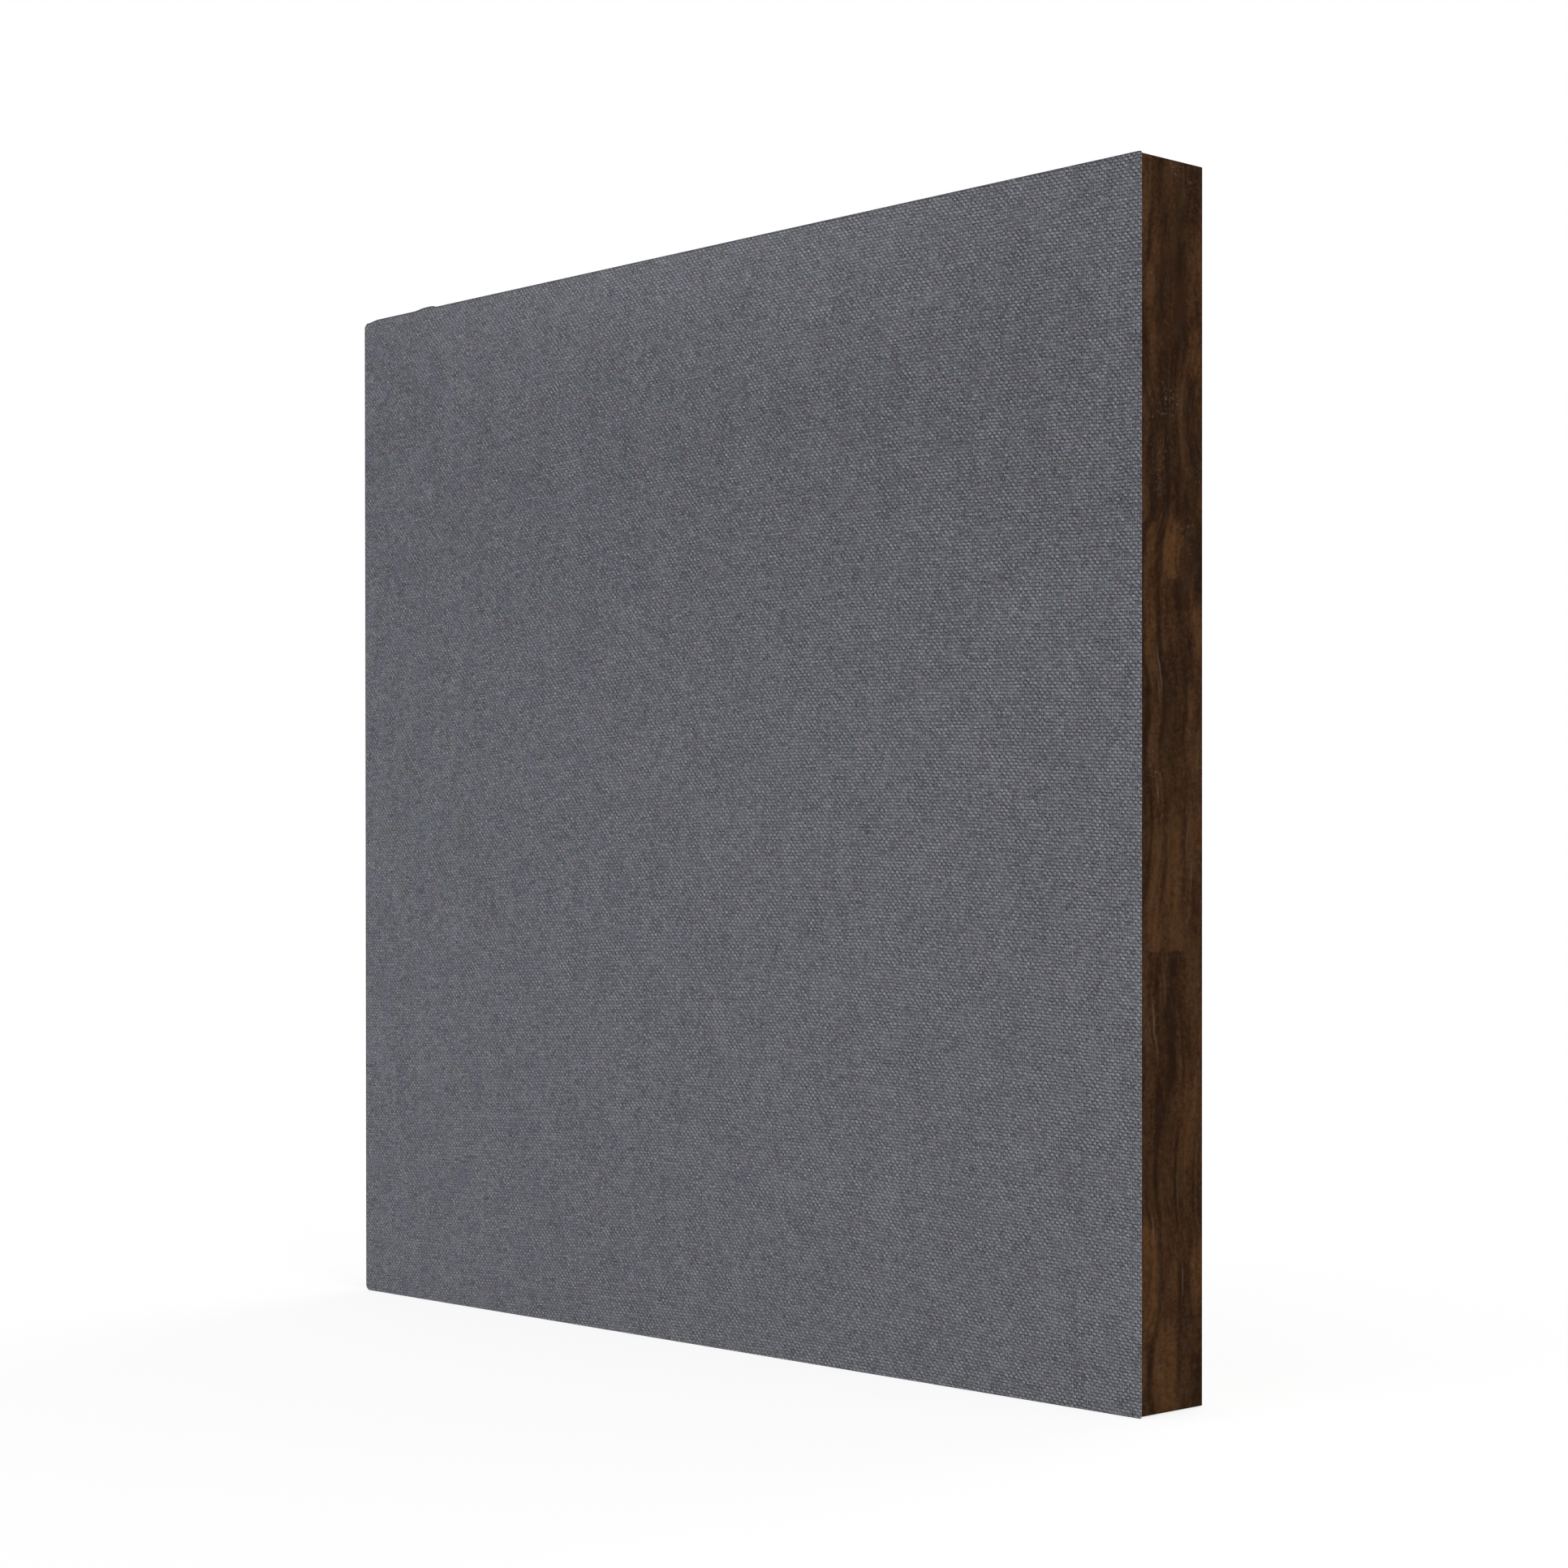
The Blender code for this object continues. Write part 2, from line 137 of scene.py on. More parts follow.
def howFar(vector):
    return add(vector.tree, "ShaderNodeVectorMath", {0: vector}, operation="LENGTH").of("Value")


def blend(kind, factor, first, second):
    # each kind of mix has its own sockets
    start, end, result = {"FLOAT": (2, 3, 0), "VECTOR": (4, 5, 1), "RGBA": (6, 7, 2)}[kind]
    inputs = {0: factor, start: first, end: second}
    return add(treeOf(*inputs.values()), "ShaderNodeMix", inputs, data_type=kind).of(result)


def blendColour(*values):
    return blend("RGBA", *values)


def blendNumber(*values):
    return blend("FLOAT", *values)


def layered(colour, *layers):
    # colours laid over the first one, each as strongly as its amount says
    for amount, layer in layers:
        colour = blendColour(amount, colour, layer)
    return colour


def ramp(value, *stops):
    made = add(value.tree, "ShaderNodeValToRGB", {"Fac": value})
    elements = made.node.color_ramp.elements
    while len(elements) < len(stops):
        elements.new(0.5)
    for element, (place, colour) in zip(elements, stops):
        element.position = place
        element.color = (*colour, 1.0)
    return made


def newTree(name, flow, values):
    # a group that takes its flow, Vector or Geometry, and named values, each with its default
    tree = bpy.data.node_groups.new(name, "GeometryNodeTree" if flow == "Geometry" else "ShaderNodeTree")
    kinds = {int: "Int", float: "Float", tuple: "Vector", bpy.types.Material: "Material"}
    tree.interface.new_socket(name=flow, in_out="INPUT", socket_type="NodeSocket" + flow)
    for label, value in values.items():
        kind = kinds[type(value)]
        socket = tree.interface.new_socket(name=label, in_out="INPUT", socket_type="NodeSocket" + kind)
        if kind != "Material":
            socket.default_value = value
    return tree, {socket.name: Output(socket) for socket in tree.nodes.new("NodeGroupInput").outputs}


def finishTree(tree, kind="Float", **outputs):
    for label in outputs:
        tree.interface.new_socket(name=label, in_out="OUTPUT", socket_type="NodeSocket" + kind)
    made = tree.nodes.new("NodeGroupOutput").inputs
    for label, value in outputs.items():
        put(made[label], value)
    return tree


def placed(group, vector, **values):
    # a shader group in a material, with its own values; Edge_Width is the socket Edge Width
    inputs = {name.replace("_", " "): value for name, value in values.items()}
    made = add(vector.tree, "ShaderNodeGroup", {"Vector": vector, **inputs}, node_tree=group)
    return {socket.name: Output(socket) for socket in made.node.outputs}


def newMaterial(name, uvMap=None, **values):
    # a material and the place that it is drawn from: the object's own, or a map of the piece
    material = bpy.data.materials.new(name)
    material.use_nodes = True
    tree = material.node_tree
    for label, value in values.items():
        tree.nodes["Principled BSDF"].inputs[label.replace("_", " ")].default_value = value
    if uvMap:
        return material, add(tree, "ShaderNodeUVMap", uv_map=uvMap)
    return material, add(tree, "ShaderNodeTexCoord").of("Object")


def finishMaterial(material, colour, height, relief, roughness=None):
    shader = material.node_tree.nodes["Principled BSDF"].inputs
    put(shader["Base Color"], colour)
    inputs = {"Height": height, "Distance": relief, "Strength": 1.0}
    put(shader["Normal"], add(height.tree, "ShaderNodeBump", inputs))
    if roughness:
        put(shader["Roughness"], roughness)
    return material


def randomTurn(seed, low, high):
    # only the sockets of the chosen kind of value are enabled
    made = add(seed.tree, "FunctionNodeRandomValue", {"Seed": seed}, data_type="FLOAT").node
    for socket, value in zip([socket for socket in made.inputs if socket.enabled], (low, high)):
        put(socket, value)
    return Output(next(socket for socket in made.outputs if socket.enabled))


def several(made, name, *pieces):
    # links a few pieces to one socket
    for piece in pieces:
        put(made.node.inputs[name], piece)
    return made


def finishShape(geometry, given):
    real = add(geometry.tree, "GeometryNodeRealizeInstances", {"Geometry": geometry})
    inputs = {"Geometry": real, "Material": given["Finish"]}
    dressed = add(geometry.tree, "GeometryNodeSetMaterial", inputs)
    return finishTree(geometry.tree, "Geometry", Geometry=dressed)


# small helpers for pieces

def placeInScene(name, data, place=(0, 0, 0)):
    made = bpy.data.objects.new(name, data)
    made.location = place
    bpy.context.scene.collection.objects.link(made)
    return made


def newPiece(name, mesh, material):
    mesh.name = name
    mesh.materials.clear()
    mesh.materials.append(material)
    return placeInScene(name, mesh)


def plainMesh(mesh):
    # the finished shape of an edited mesh
    made = bpy.data.meshes.new("made")
    mesh.to_mesh(made)
    mesh.free()
    return made


def shadeSoft(mesh, degrees):
    # smooth, but for edges that turn by more than so many degrees
    mesh.shade_smooth()
    mesh.set_sharp_from_angle(angle=math.radians(degrees))
    return mesh


def baked(guide):
    # the plain mesh of an object with its modifiers, which is then removed
    mesh = bpy.data.meshes.new_from_object(guide.evaluated_get(bpy.context.evaluated_depsgraph_get()))
    bpy.data.objects.remove(guide)
    return mesh


def addChange(guide, kind, **settings):
    made = guide.modifiers.new(kind.lower(), kind)
    for name, value in settings.items():
        setattr(made, name, value)
    return made


def shapeWith(tree, mesh, values, wall=None):
    # the plain result of a Geometry Nodes tree on a mesh, and of a wall where there is one
    guide = placeInScene(mesh.name, mesh)
    change = addChange(guide, "NODES", node_group=tree)
    for item in tree.interface.items_tree:
        if item.in_out == "INPUT" and item.name in values:
            change[item.identifier] = values[item.name]
    if wall:
        addChange(guide, "SOLIDIFY", **wall)
    return baked(guide)


def pointMesh(name, points, turns=None):
    mesh = bpy.data.meshes.new(name)
    mesh.from_pydata(points, [], [])
    if turns:
        mesh.attributes.new("turn", "FLOAT", "POINT").data.foreach_set("value", turns)
    return mesh


def finishPiece(piece, slot, *replaced):
    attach(piece, body)
    if replaced:
        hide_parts(*replaced)
    return piece


def dress(name, material):
    for slot in cad[name].material_slots:
        slot.material = material


# camera, at the angle of the photograph

cameraSettings = {
    "place": (1.2072, -1.1851, 0.2599),
    "turn": 48.68,  # degrees round the tile, from straight in front of it
    "tilt": -0.367,
    "roll": 0.067,
    "lens": 70.09,
    "shiftX": 0.14,
    "shiftY": 0.0678,
}


def addCamera(settings):
    data = bpy.data.cameras.new("camera")
    data.lens = settings["lens"]
    data.shift_x = settings["shiftX"]
    data.shift_y = settings["shiftY"]
    camera = placeInScene("camera", data, settings["place"])
    turns = (90 + settings["tilt"], settings["roll"], settings["turn"])
    camera.rotation_euler = [math.radians(angle) for angle in turns]
    bpy.context.scene.camera = camera


addCamera(cameraSettings)


# light and floor

lightSettings = {
    "ambient": 0.50,
    "aim": (0, 0, 0.3),
    "lamps": {
        "frontLamp": {"place": (-1.0, -3.6, 0.75), "width": 2.8, "height": 1.3, "power": 56},
        "sideLamp": {"place": (3.4, -0.8, 1.0), "width": 2.4, "height": 1.6, "power": 53},
        "backLamp": {"place": (-0.8, 3.6, 1.2), "width": 2.4, "height": 1.6, "power": 58},
    },
}

floorSettings = {
    "half": 9.0,
    "colour": (0.84, 0.84, 0.84),
    "shadow": 0.28,  # how much of the white that the camera sees is lit by the lamps
    "glow": 0.80,
    "fade": (0.6, 1.6),  # metres from the tile, over which its shadow fades out
}


def seesWhite(tree):
    # camera, mirror and glass rays, which see the background
    path = add(tree, "ShaderNodeLightPath")
    seen = calc("MAXIMUM", path.of("Is Camera Ray"), path.of("Is Glossy Ray"))
    return calc("MAXIMUM", seen, path.of("Is Transmission Ray"))


def addLight(settings):
    world = bpy.data.worlds.new("studio")
    bpy.context.scene.world = world
    world.use_nodes = True
    background = world.node_tree.nodes["Background"].inputs
    put(background["Color"], (1, 1, 1))
    put(background["Strength"], blendNumber(seesWhite(world.node_tree), settings["ambient"], 1.0))
    for name, values in settings["lamps"].items():
        data = bpy.data.lights.new(name, "AREA")
        data.shape = "RECTANGLE"
        data.size = values["width"]
        data.size_y = values["height"]
        data.energy = values["power"]
        lamp = placeInScene(name, data, values["place"])
        aim = Vector(settings["aim"]) - lamp.location
        lamp.rotation_euler = aim.to_track_quat("-Z", "Y").to_euler()


def addFloor(settings, height):
    material, place = newMaterial("floorWhite")
    tree = material.node_tree
    tree.nodes.remove(tree.nodes["Principled BSDF"])
    lit = add(tree, "ShaderNodeBsdfDiffuse", {"Color": settings["colour"]})
    near, far = settings["fade"]
    away = howFar(place)
    shade = spread(away, far, near, 0.0, settings["shadow"], smooth=True)
    shown = add(tree, "ShaderNodeBsdfDiffuse", {"Color": join(shade, shade, shade)})
    strength = spread(away, near, far, settings["glow"], 1.0, smooth=True)
    glow = add(tree, "ShaderNodeEmission", {"Strength": strength})
    white = add(tree, "ShaderNodeAddShader", {0: shown, 1: glow})
    mix = add(tree, "ShaderNodeMixShader", {0: seesWhite(tree), 1: lit, 2: white})
    put(tree.nodes["Material Output"].inputs["Surface"], mix)
    half = settings["half"]
    corners = [(-half, -half, height), (half, -half, height), (half, half, height), (-half, half, height)]
    mesh = bpy.data.meshes.new("floor")
    mesh.from_pydata(corners, [], [(0, 1, 2, 3)])
    newPiece("floor", mesh, material)


# the cloth over the front

clothSettings = {
    "overhang": 0.0007,  # past the bottom rail, as at the other sides
    "edgeDepth": 0.0008,
    "edgeRadius": 0.0004,
    "edgeTurns": 4,
    "edgeLines": (0.0006, 0.0012, 0.0020, 0.0030, 0.0042, 0.0060, 0.0085),  # closer lines next to the edge
    "edgeFade": 0.006,
    "step": 0.006,
    "fineStep": 0.0016,  # from the left corner to past the lump
    "fineEnd": 0.078,
    "offRails": 0.00005,
    "cornerTopLeft": 0.0022,
    "cornerBottomLeft": 0.0036,
    "cornerRight": 0.0010,
    "ripple": 0.00010,
    "rippleSize": 0.045,
    "lumpFromLeft": 0.0620,  # a small lump in the top edge, steeper on its right
    "lumpHeight": 0.0010,
    "lumpLeft": (0.0085, 3),  # its width to this side, and how steep it is there
    "lumpRight": (0.0070, 6),
    "shoulderWidth": 0.0130,  # the top edge falls a little towards its left end
    "shoulderDrop": 0.0019,
    "shoulderPower": 1.2,
    "weave": {
        "Warp Pitch": 0.00146,
        "Weft Pitch": 0.00166,
        "Crowding": -140.0,  # threads a metre more for each metre, so they lie closer at the left
        "Row Crowding": 70.0,  # rows lie closer towards the top and bottom
        "Bow": 0.007,
        "Bow Middle": 0.05,
        "Bow Length": 0.9,
        "Wander": 1.1,
        "Slant": 0.42,
        "Level Middle": -0.08,
        "Level Rise": 0.6,  # a metre, away from that place
        "Skew": 0.35,
        "Knot Width": 0.74,
        "Knot Height": 0.62,
        "Column Gap": 0.30,
    },
    "warpDark": (0.0753, 0.0767, 0.0852),
    "warpLight": (0.290, 0.2975, 0.317),
    "weftDark": (0.0367, 0.0370, 0.0452),
    "weftLight": (0.174, 0.176, 0.1985),
    # the colour of painted shade, between the threads and along the top edge
    "gap": (0.026, 0.025, 0.034),
    "gapLeft": 0.12,  # how dark the painted shade in the lines between the rows is, at the left and right
    "gapRight": 0.72,
    "base": -0.005,
    "slope": 0.159,  # painted light: rise of tone a metre, to the right
    "fall": 0.187,  # and downwards, also painted light
    "flecks": 2.3,  # how much the flecks, fibres, clouds and single knots change the tone
    "fibres": 0.4,
    "clouds": 0.22,
    "singles": 0.26,
    "toneRun": 120,  # changes of tone a metre, along a thread
    "fibreFine": 6000,  # fibres a metre, across their thread and along it
    "fibreLong": 1500,
    # uneven places and tones: (patches a metre, detail, roughness), with limits and strength where given
    "noises": {
        "wander": (45.0, 4.0, 0.6),
        "level": (90.0, 2.0, 0.6, (0.42, 0.64), 0.35),
        "flecks": (1100.0, 2.0, 0.7),
        "clouds": (40.0, 4.0, 0.7),
        "gaps": (420.0, 2.0, 0.6),
    },
    # soft ovals of painted light and shade: (across, from the top, half width, half height, tone)
    "tones": [
        (0.017, 0.038, 1.015, 0.059, 0.047),
        (-0.043, -0.020, 0.506, 0.070, 0.175),
        (0.222, 0.078, 0.060, 0.102, -0.033),
        (0.172, 0.131, 0.506, 0.125, -0.021),
        (-0.301, 0.220, 0.035, 0.300, 0.025),
        (-0.301, 0.350, 0.003, 0.450, 0.080),
        (0.301, 0.420, 0.006, 0.350, 0.045),
        (0.000, 0.601, 3.000, 0.0022, 0.060),
    ],
    "topEdgeShade": 0.40,  # how dark the painted shade along the top edge is
    "topEdgeShadeBelow": (0.0009, 0.0005),  # where it starts and where it is full, below the edge
    # dyed fibres that tint the yarn here and there:
    # (colour, patches a metre, place, strength at the left, strength at the right)
    "tints": [
        ((0.095, 0.120, 0.185), 180.0, 0.0, 0.20, 0.20),
        ((0.150, 0.110, 0.140), 110.0, 3.0, 0.25, 0.25),
        ((0.115, 0.155, 0.135), 130.0, 6.0, 0.25, 0.25),
        ((0.105, 0.105, 0.185), 55.0, 9.0, 0.24, 0.0),
    ],
    "relief": 0.00025,
}

addLight(lightSettings)
addFloor(floorSettings, -clothSettings["overhang"])
bpy.context.scene.view_settings.view_transform = "Standard"
print("camera, lamps and floor ready")


def edgeProfile(settings):
    # (arc length from the back edge, inset, depth in front of the back edge) round the cloth's edge
    radius, turns = settings["edgeRadius"], settings["edgeTurns"]
    straight = settings["edgeDepth"] - radius
    points = [(0.0, 0.0, 0.0)]
    for i in range(turns + 1):
        angle = math.radians(90) * i / turns
        inset, rise = radius * (1 - math.cos(angle)), radius * math.sin(angle)
        points.append((straight + radius * angle, inset, straight + rise))
    return points


def clothLines(half, settings, fine=False):
    # one direction's grid lines: (unrolled place, place in the plane, inset from the nearest edge, depth)
    profile = edgeProfile(settings)
    arc, inset, depth = profile[-1]
    flatHalf = half - inset
    lines = []
    for length, shift, deep in profile:
        lines.append((-flatHalf - (arc - length), -half + shift, shift, deep))
    for extra in settings["edgeLines"]:
        lines.append((-flatHalf + extra, -flatHalf + extra, inset + extra, depth))
    mirrored = [(-u, -x, shift, deep) for u, x, shift, deep in reversed(lines)]
    place = settings["edgeLines"][-1] - flatHalf
    end = -place
    while place < end - settings["step"] * 1.3:
        place += settings["fineStep" if fine and place < settings["fineEnd"] - half else "step"]
        lines.append((place, place, half - abs(place), depth))
    return lines + mirrored


def roundCorner(dx, dz, radius):
    # moves a point of a square corner, given from its two edges, to the same ring of a round one
    a, b = (radius - dx) / radius, (radius - dz) / radius
    if a <= 0 or b <= 0:
        return dx, dz
    scale = max(a, b) / math.hypot(a, b)
    return radius * (1 - a * scale), radius * (1 - b * scale)


def topEdge(fromLeft, settings):
    # how far the top edge rises at its lump, and falls at its left end
    past = fromLeft - settings["lumpFromLeft"]
    width, steep = settings["lumpRight" if past > 0 else "lumpLeft"]
    bell = math.exp(-abs(past / width) ** steep)
    drop = max(0.0, 1 - fromLeft / settings["shoulderWidth"]) ** settings["shoulderPower"]
    return settings["lumpHeight"] * bell - settings["shoulderDrop"] * drop


def clothMesh(settings):
    halfX = clothHigh.x
    low, high = clothLow.z - settings["overhang"], clothHigh.z
    halfZ = (high - low) / 2
    centreZ = (high + low) / 2
    back = railFront - settings["offRails"]
    across, upward = clothLines(halfX, settings, fine=True), clothLines(halfZ, settings)
    mesh = bmesh.new()
    uvLayer = mesh.loops.layers.uv.new("weave")
    places = {}
    grid = []
    for u, x, insetX, depthX in across:
        column = []
        for v, z, insetZ, depthZ in upward:
            corner = "cornerRight" if x >= 0 else "cornerTopLeft" if z > 0 else "cornerBottomLeft"
            dx, dz = roundCorner(insetX, insetZ, settings[corner])
            px, pz = math.copysign(halfX - dx, x), math.copysign(halfZ - dz, z)
            fade = math.exp(-min(insetX, insetZ) / settings["edgeFade"])
            if z > 0:
                pz += topEdge(x + halfX, settings) * fade
            wave = noise.noise(Vector((x, 0, z)) / settings["rippleSize"])
            depth = min(depthX, depthZ) - settings["ripple"] * (0.5 + wave) * (1 - fade)
            vertex = mesh.verts.new((px, back - depth, pz + centreZ))
            places[vertex] = (u, v)
            column.append(vertex)
        grid.append(column)
    for left, right in zip(grid, grid[1:]):
        for i in range(len(left) - 1):
            face = mesh.faces.new((left[i], right[i], right[i + 1], left[i + 1]))
            for loop in face.loops:
                loop[uvLayer].uv = places[loop.vert]
    bmesh.ops.remove_doubles(mesh, verts=mesh.verts, dist=1e-7)
    rim = [edge for edge in mesh.edges if edge.is_boundary]
    bmesh.ops.contextual_create(mesh, geom=rim)
    bmesh.ops.recalc_face_normals(mesh, faces=mesh.faces)
    return shadeSoft(plainMesh(mesh), 60)


def weaveGroup(settings):
    # plain weave from a place in metres: slanted warp knots in a checkerboard over flatter weft
    tree, given = newTree("plainWeave", "Vector", settings["weave"])
    place, noises = given["Vector"], settings["noises"]
    across, up, _ = split(place)
    # the weft rows bow across the cloth, and the warp threads lie closer on one side
    arch = calc("COSINE", (across - given["Bow Middle"]) / given["Bow Length"] * (2 * math.pi))
    bowed = up - arch * given["Bow"]
    threadU = across / given["Warp Pitch"] + across * across * given["Crowding"] * 0.5
    cube = abs(up) ** 3.0 * calc("SIGN", up)
    threadV = cube * given["Row Crowding"] + bowed / given["Weft Pitch"]
    red, green, _ = split(speckle(place, *noises["wander"]).of("Color"))
    threadU += (red - 0.5) * given["Wander"]
    threadV += (green - 0.5) * given["Wander"]
    # the nearest knot, where the warp passes over the weft
    rise = (threadU + threadV) * 0.5
    fall = (threadU - threadV) * 0.5
    riseCell, fallCell, weftCell = round(rise), round(fall), round(threadV)
    offRise, offFall = rise - riseCell, fall - fallCell
    offV = offRise - offFall
    leaning = offRise + offFall + offV * given["Slant"]
    # to the right a knot ends more steeply on its right side; as the knot also sets the colour, this is
    # partly painted light from the right
    toRight = spread(across, -0.2, 0.3)
    skew = calc("SIGN", leaning) * given["Skew"] * toRight
    wide = abs(leaning / (given["Knot Width"] * (1.0 - skew))) ** 2.0
    high = abs(offV / given["Knot Height"]) ** 2.0
    onTop = spread(calc("MAXIMUM", 1.0 - (wide + high), 0.0), 0.02, 0.75, smooth=True)
    # in places the weft stands nearly as high as the warp
    level = speckle(place, *noises["level"]) + abs(across - given["Level Middle"]) * given["Level Rise"]
    onTop = blendNumber(level, onTop, 0.5)
    # the weft lies lower, in rows with a dark line of painted shade between them, and a fainter one between
    # the warp threads
    row = 1.0 - (abs(threadV - weftCell) * 2.0) ** 2.0
    column = (abs(threadU - round(threadU)) * 2.0) ** 2.0
    crown = row * 0.45 + onTop * 0.55 - column * given["Column Gap"] * toRight
    # tones that stay with each thread, change slowly along it, and differ from knot to knot
    warpPlace = join((riseCell + fallCell) * 1.73, up * settings["toneRun"], 0.0)
    weftPlace = join(across * settings["toneRun"], weftCell * 1.61, 7.0)
    warpTone, weftTone = (speckle(thread, 1.0, 2.0, 0.7) for thread in (warpPlace, weftPlace))
    single = add(tree, "ShaderNodeTexWhiteNoise", {"Vector": join(riseCell, fallCell, 0.0)}).of("Value")
    tone = blendNumber(onTop, weftTone, warpTone + (single - 0.5) * settings["singles"])
    # fibres lie along the threads
    warpFibre = join(across * settings["fibreFine"], up * settings["fibreLong"], 0.0)
    weftFibre = join(across * settings["fibreLong"], up * settings["fibreFine"], 0.0)
    fibre = speckle(blend("VECTOR", onTop, weftFibre, warpFibre), 1.0)
    return finishTree(tree, Knot=onTop, Crown=crown, Tone=tone, Fibre=fibre)


def clothMaterial(settings, weave):
    material, place = newMaterial("melangeCloth", "weave", Roughness=0.92, Specular_IOR_Level=0.12)
    threads, noises = placed(weave, place), settings["noises"]
    across, up, _ = split(place)
    top = clothHigh.z / 2
    tone = threads["Tone"] + (speckle(place, *noises["flecks"]) - 0.5) * settings["flecks"]
    tone += (threads["Fibre"] - 0.5) * settings["fibres"]
    clouds = speckle(mapped(place, Scale=(1.0, 0.45, 1.0)), *noises["clouds"])
    tone += (clouds - 0.5) * settings["clouds"]
    # painted light: the tone rises to the right and towards the bottom
    tone = tone + across * settings["slope"] - up * settings["fall"] + settings["base"]
    # painted light and shade: lighter along the top and the edges, darker a little below the top
    for centre, fromTop, halfWidth, halfHeight, change in settings["tones"]:
        start = (-centre / halfWidth, (fromTop - top) / halfHeight, 0)
        away = howFar(mapped(place, Location=start, Scale=(1 / halfWidth, 1 / halfHeight, 0)))
        tone += spread(away, 1.0, 0.0, 0.0, change, smooth=True)
    warp = ramp(tone, (0.2, settings["warpDark"]), (0.8, settings["warpLight"]))
    weft = ramp(tone, (0.2, settings["weftDark"]), (0.8, settings["weftLight"]))
    colour = blendColour(threads["Knot"], weft, warp)
    for tint, scale, shift, atLeft, atRight in settings["tints"]:
        strength = spread(across, -frameHalf, frameHalf / 3, atLeft, atRight)
        moved = mapped(place, Location=(shift, shift, 0))
        patch = speckle(moved, scale, 2.0, 0.6, between=(0.50, 0.72), strength=strength)
        colour = blendColour(patch, colour, tint)
    # painted shade in the gaps between the threads, darker to the right and broken in places
    openness = spread(across, -frameHalf, frameHalf, settings["gapLeft"], settings["gapRight"])
    broken = spread(speckle(place, *noises["gaps"]), 0.35, 0.6, 0.55, 1.25)
    gap = spread(threads["Crown"], 0.55, 0.10, smooth=True)
    # painted shade along the cloth's top edge, where it rolls over
    start, full = settings["topEdgeShadeBelow"]
    topEdgeShade = spread(up, top - start, top - full, 0.0, settings["topEdgeShade"])
    colour = layered(colour, (gap * (openness * broken), settings["gap"]), (topEdgeShade, settings["gap"]))
    return finishMaterial(material, colour, threads["Crown"] + threads["Fibre"] * 0.15, settings["relief"])


weave = weaveGroup(clothSettings)
cloth = newPiece("face_cloth_sheet", clothMesh(clothSettings), clothMaterial(clothSettings, weave))
finishPiece(cloth, "cloth", "face_cloth")
print("front cloth made")


# the walnut rails, and the grain of every piece of wood

grainSettings = {
    "values": {"Wave": 0.004, "Width": 0.008, "Length": 0.20},
    "sway": 6.5,  # how far the grain wanders, in waves
    # each part: (grain widths across, grain lengths along, detail, roughness), with limits where given
    "parts": {
        "streak": (1.0, 0.7, 4.0, 0.6),
        "ring": (1.7, 1.2, 1.0, 0.4),
        "ringFade": (3.0, 0.4, 1.0, 0.5, (0.34, 0.60)),
        "mottle": (0.32, 0.022, 4.0, 0.75),
        "flame": (2.6, 0.30, 2.0, 0.45),
        "fibreDots": (0.07, 0.05, 2.0, 0.6, (0.60, 0.76)),
        "fibrePatch": (1.6, 0.10, 1.0, 0.5, (0.50, 0.62)),
        "speckDots": (0.12, 0.010, 2.0, 0.6, (0.64, 0.74)),
        "ray": (0.5, 0.006, 2.0, 0.6),
    },
}

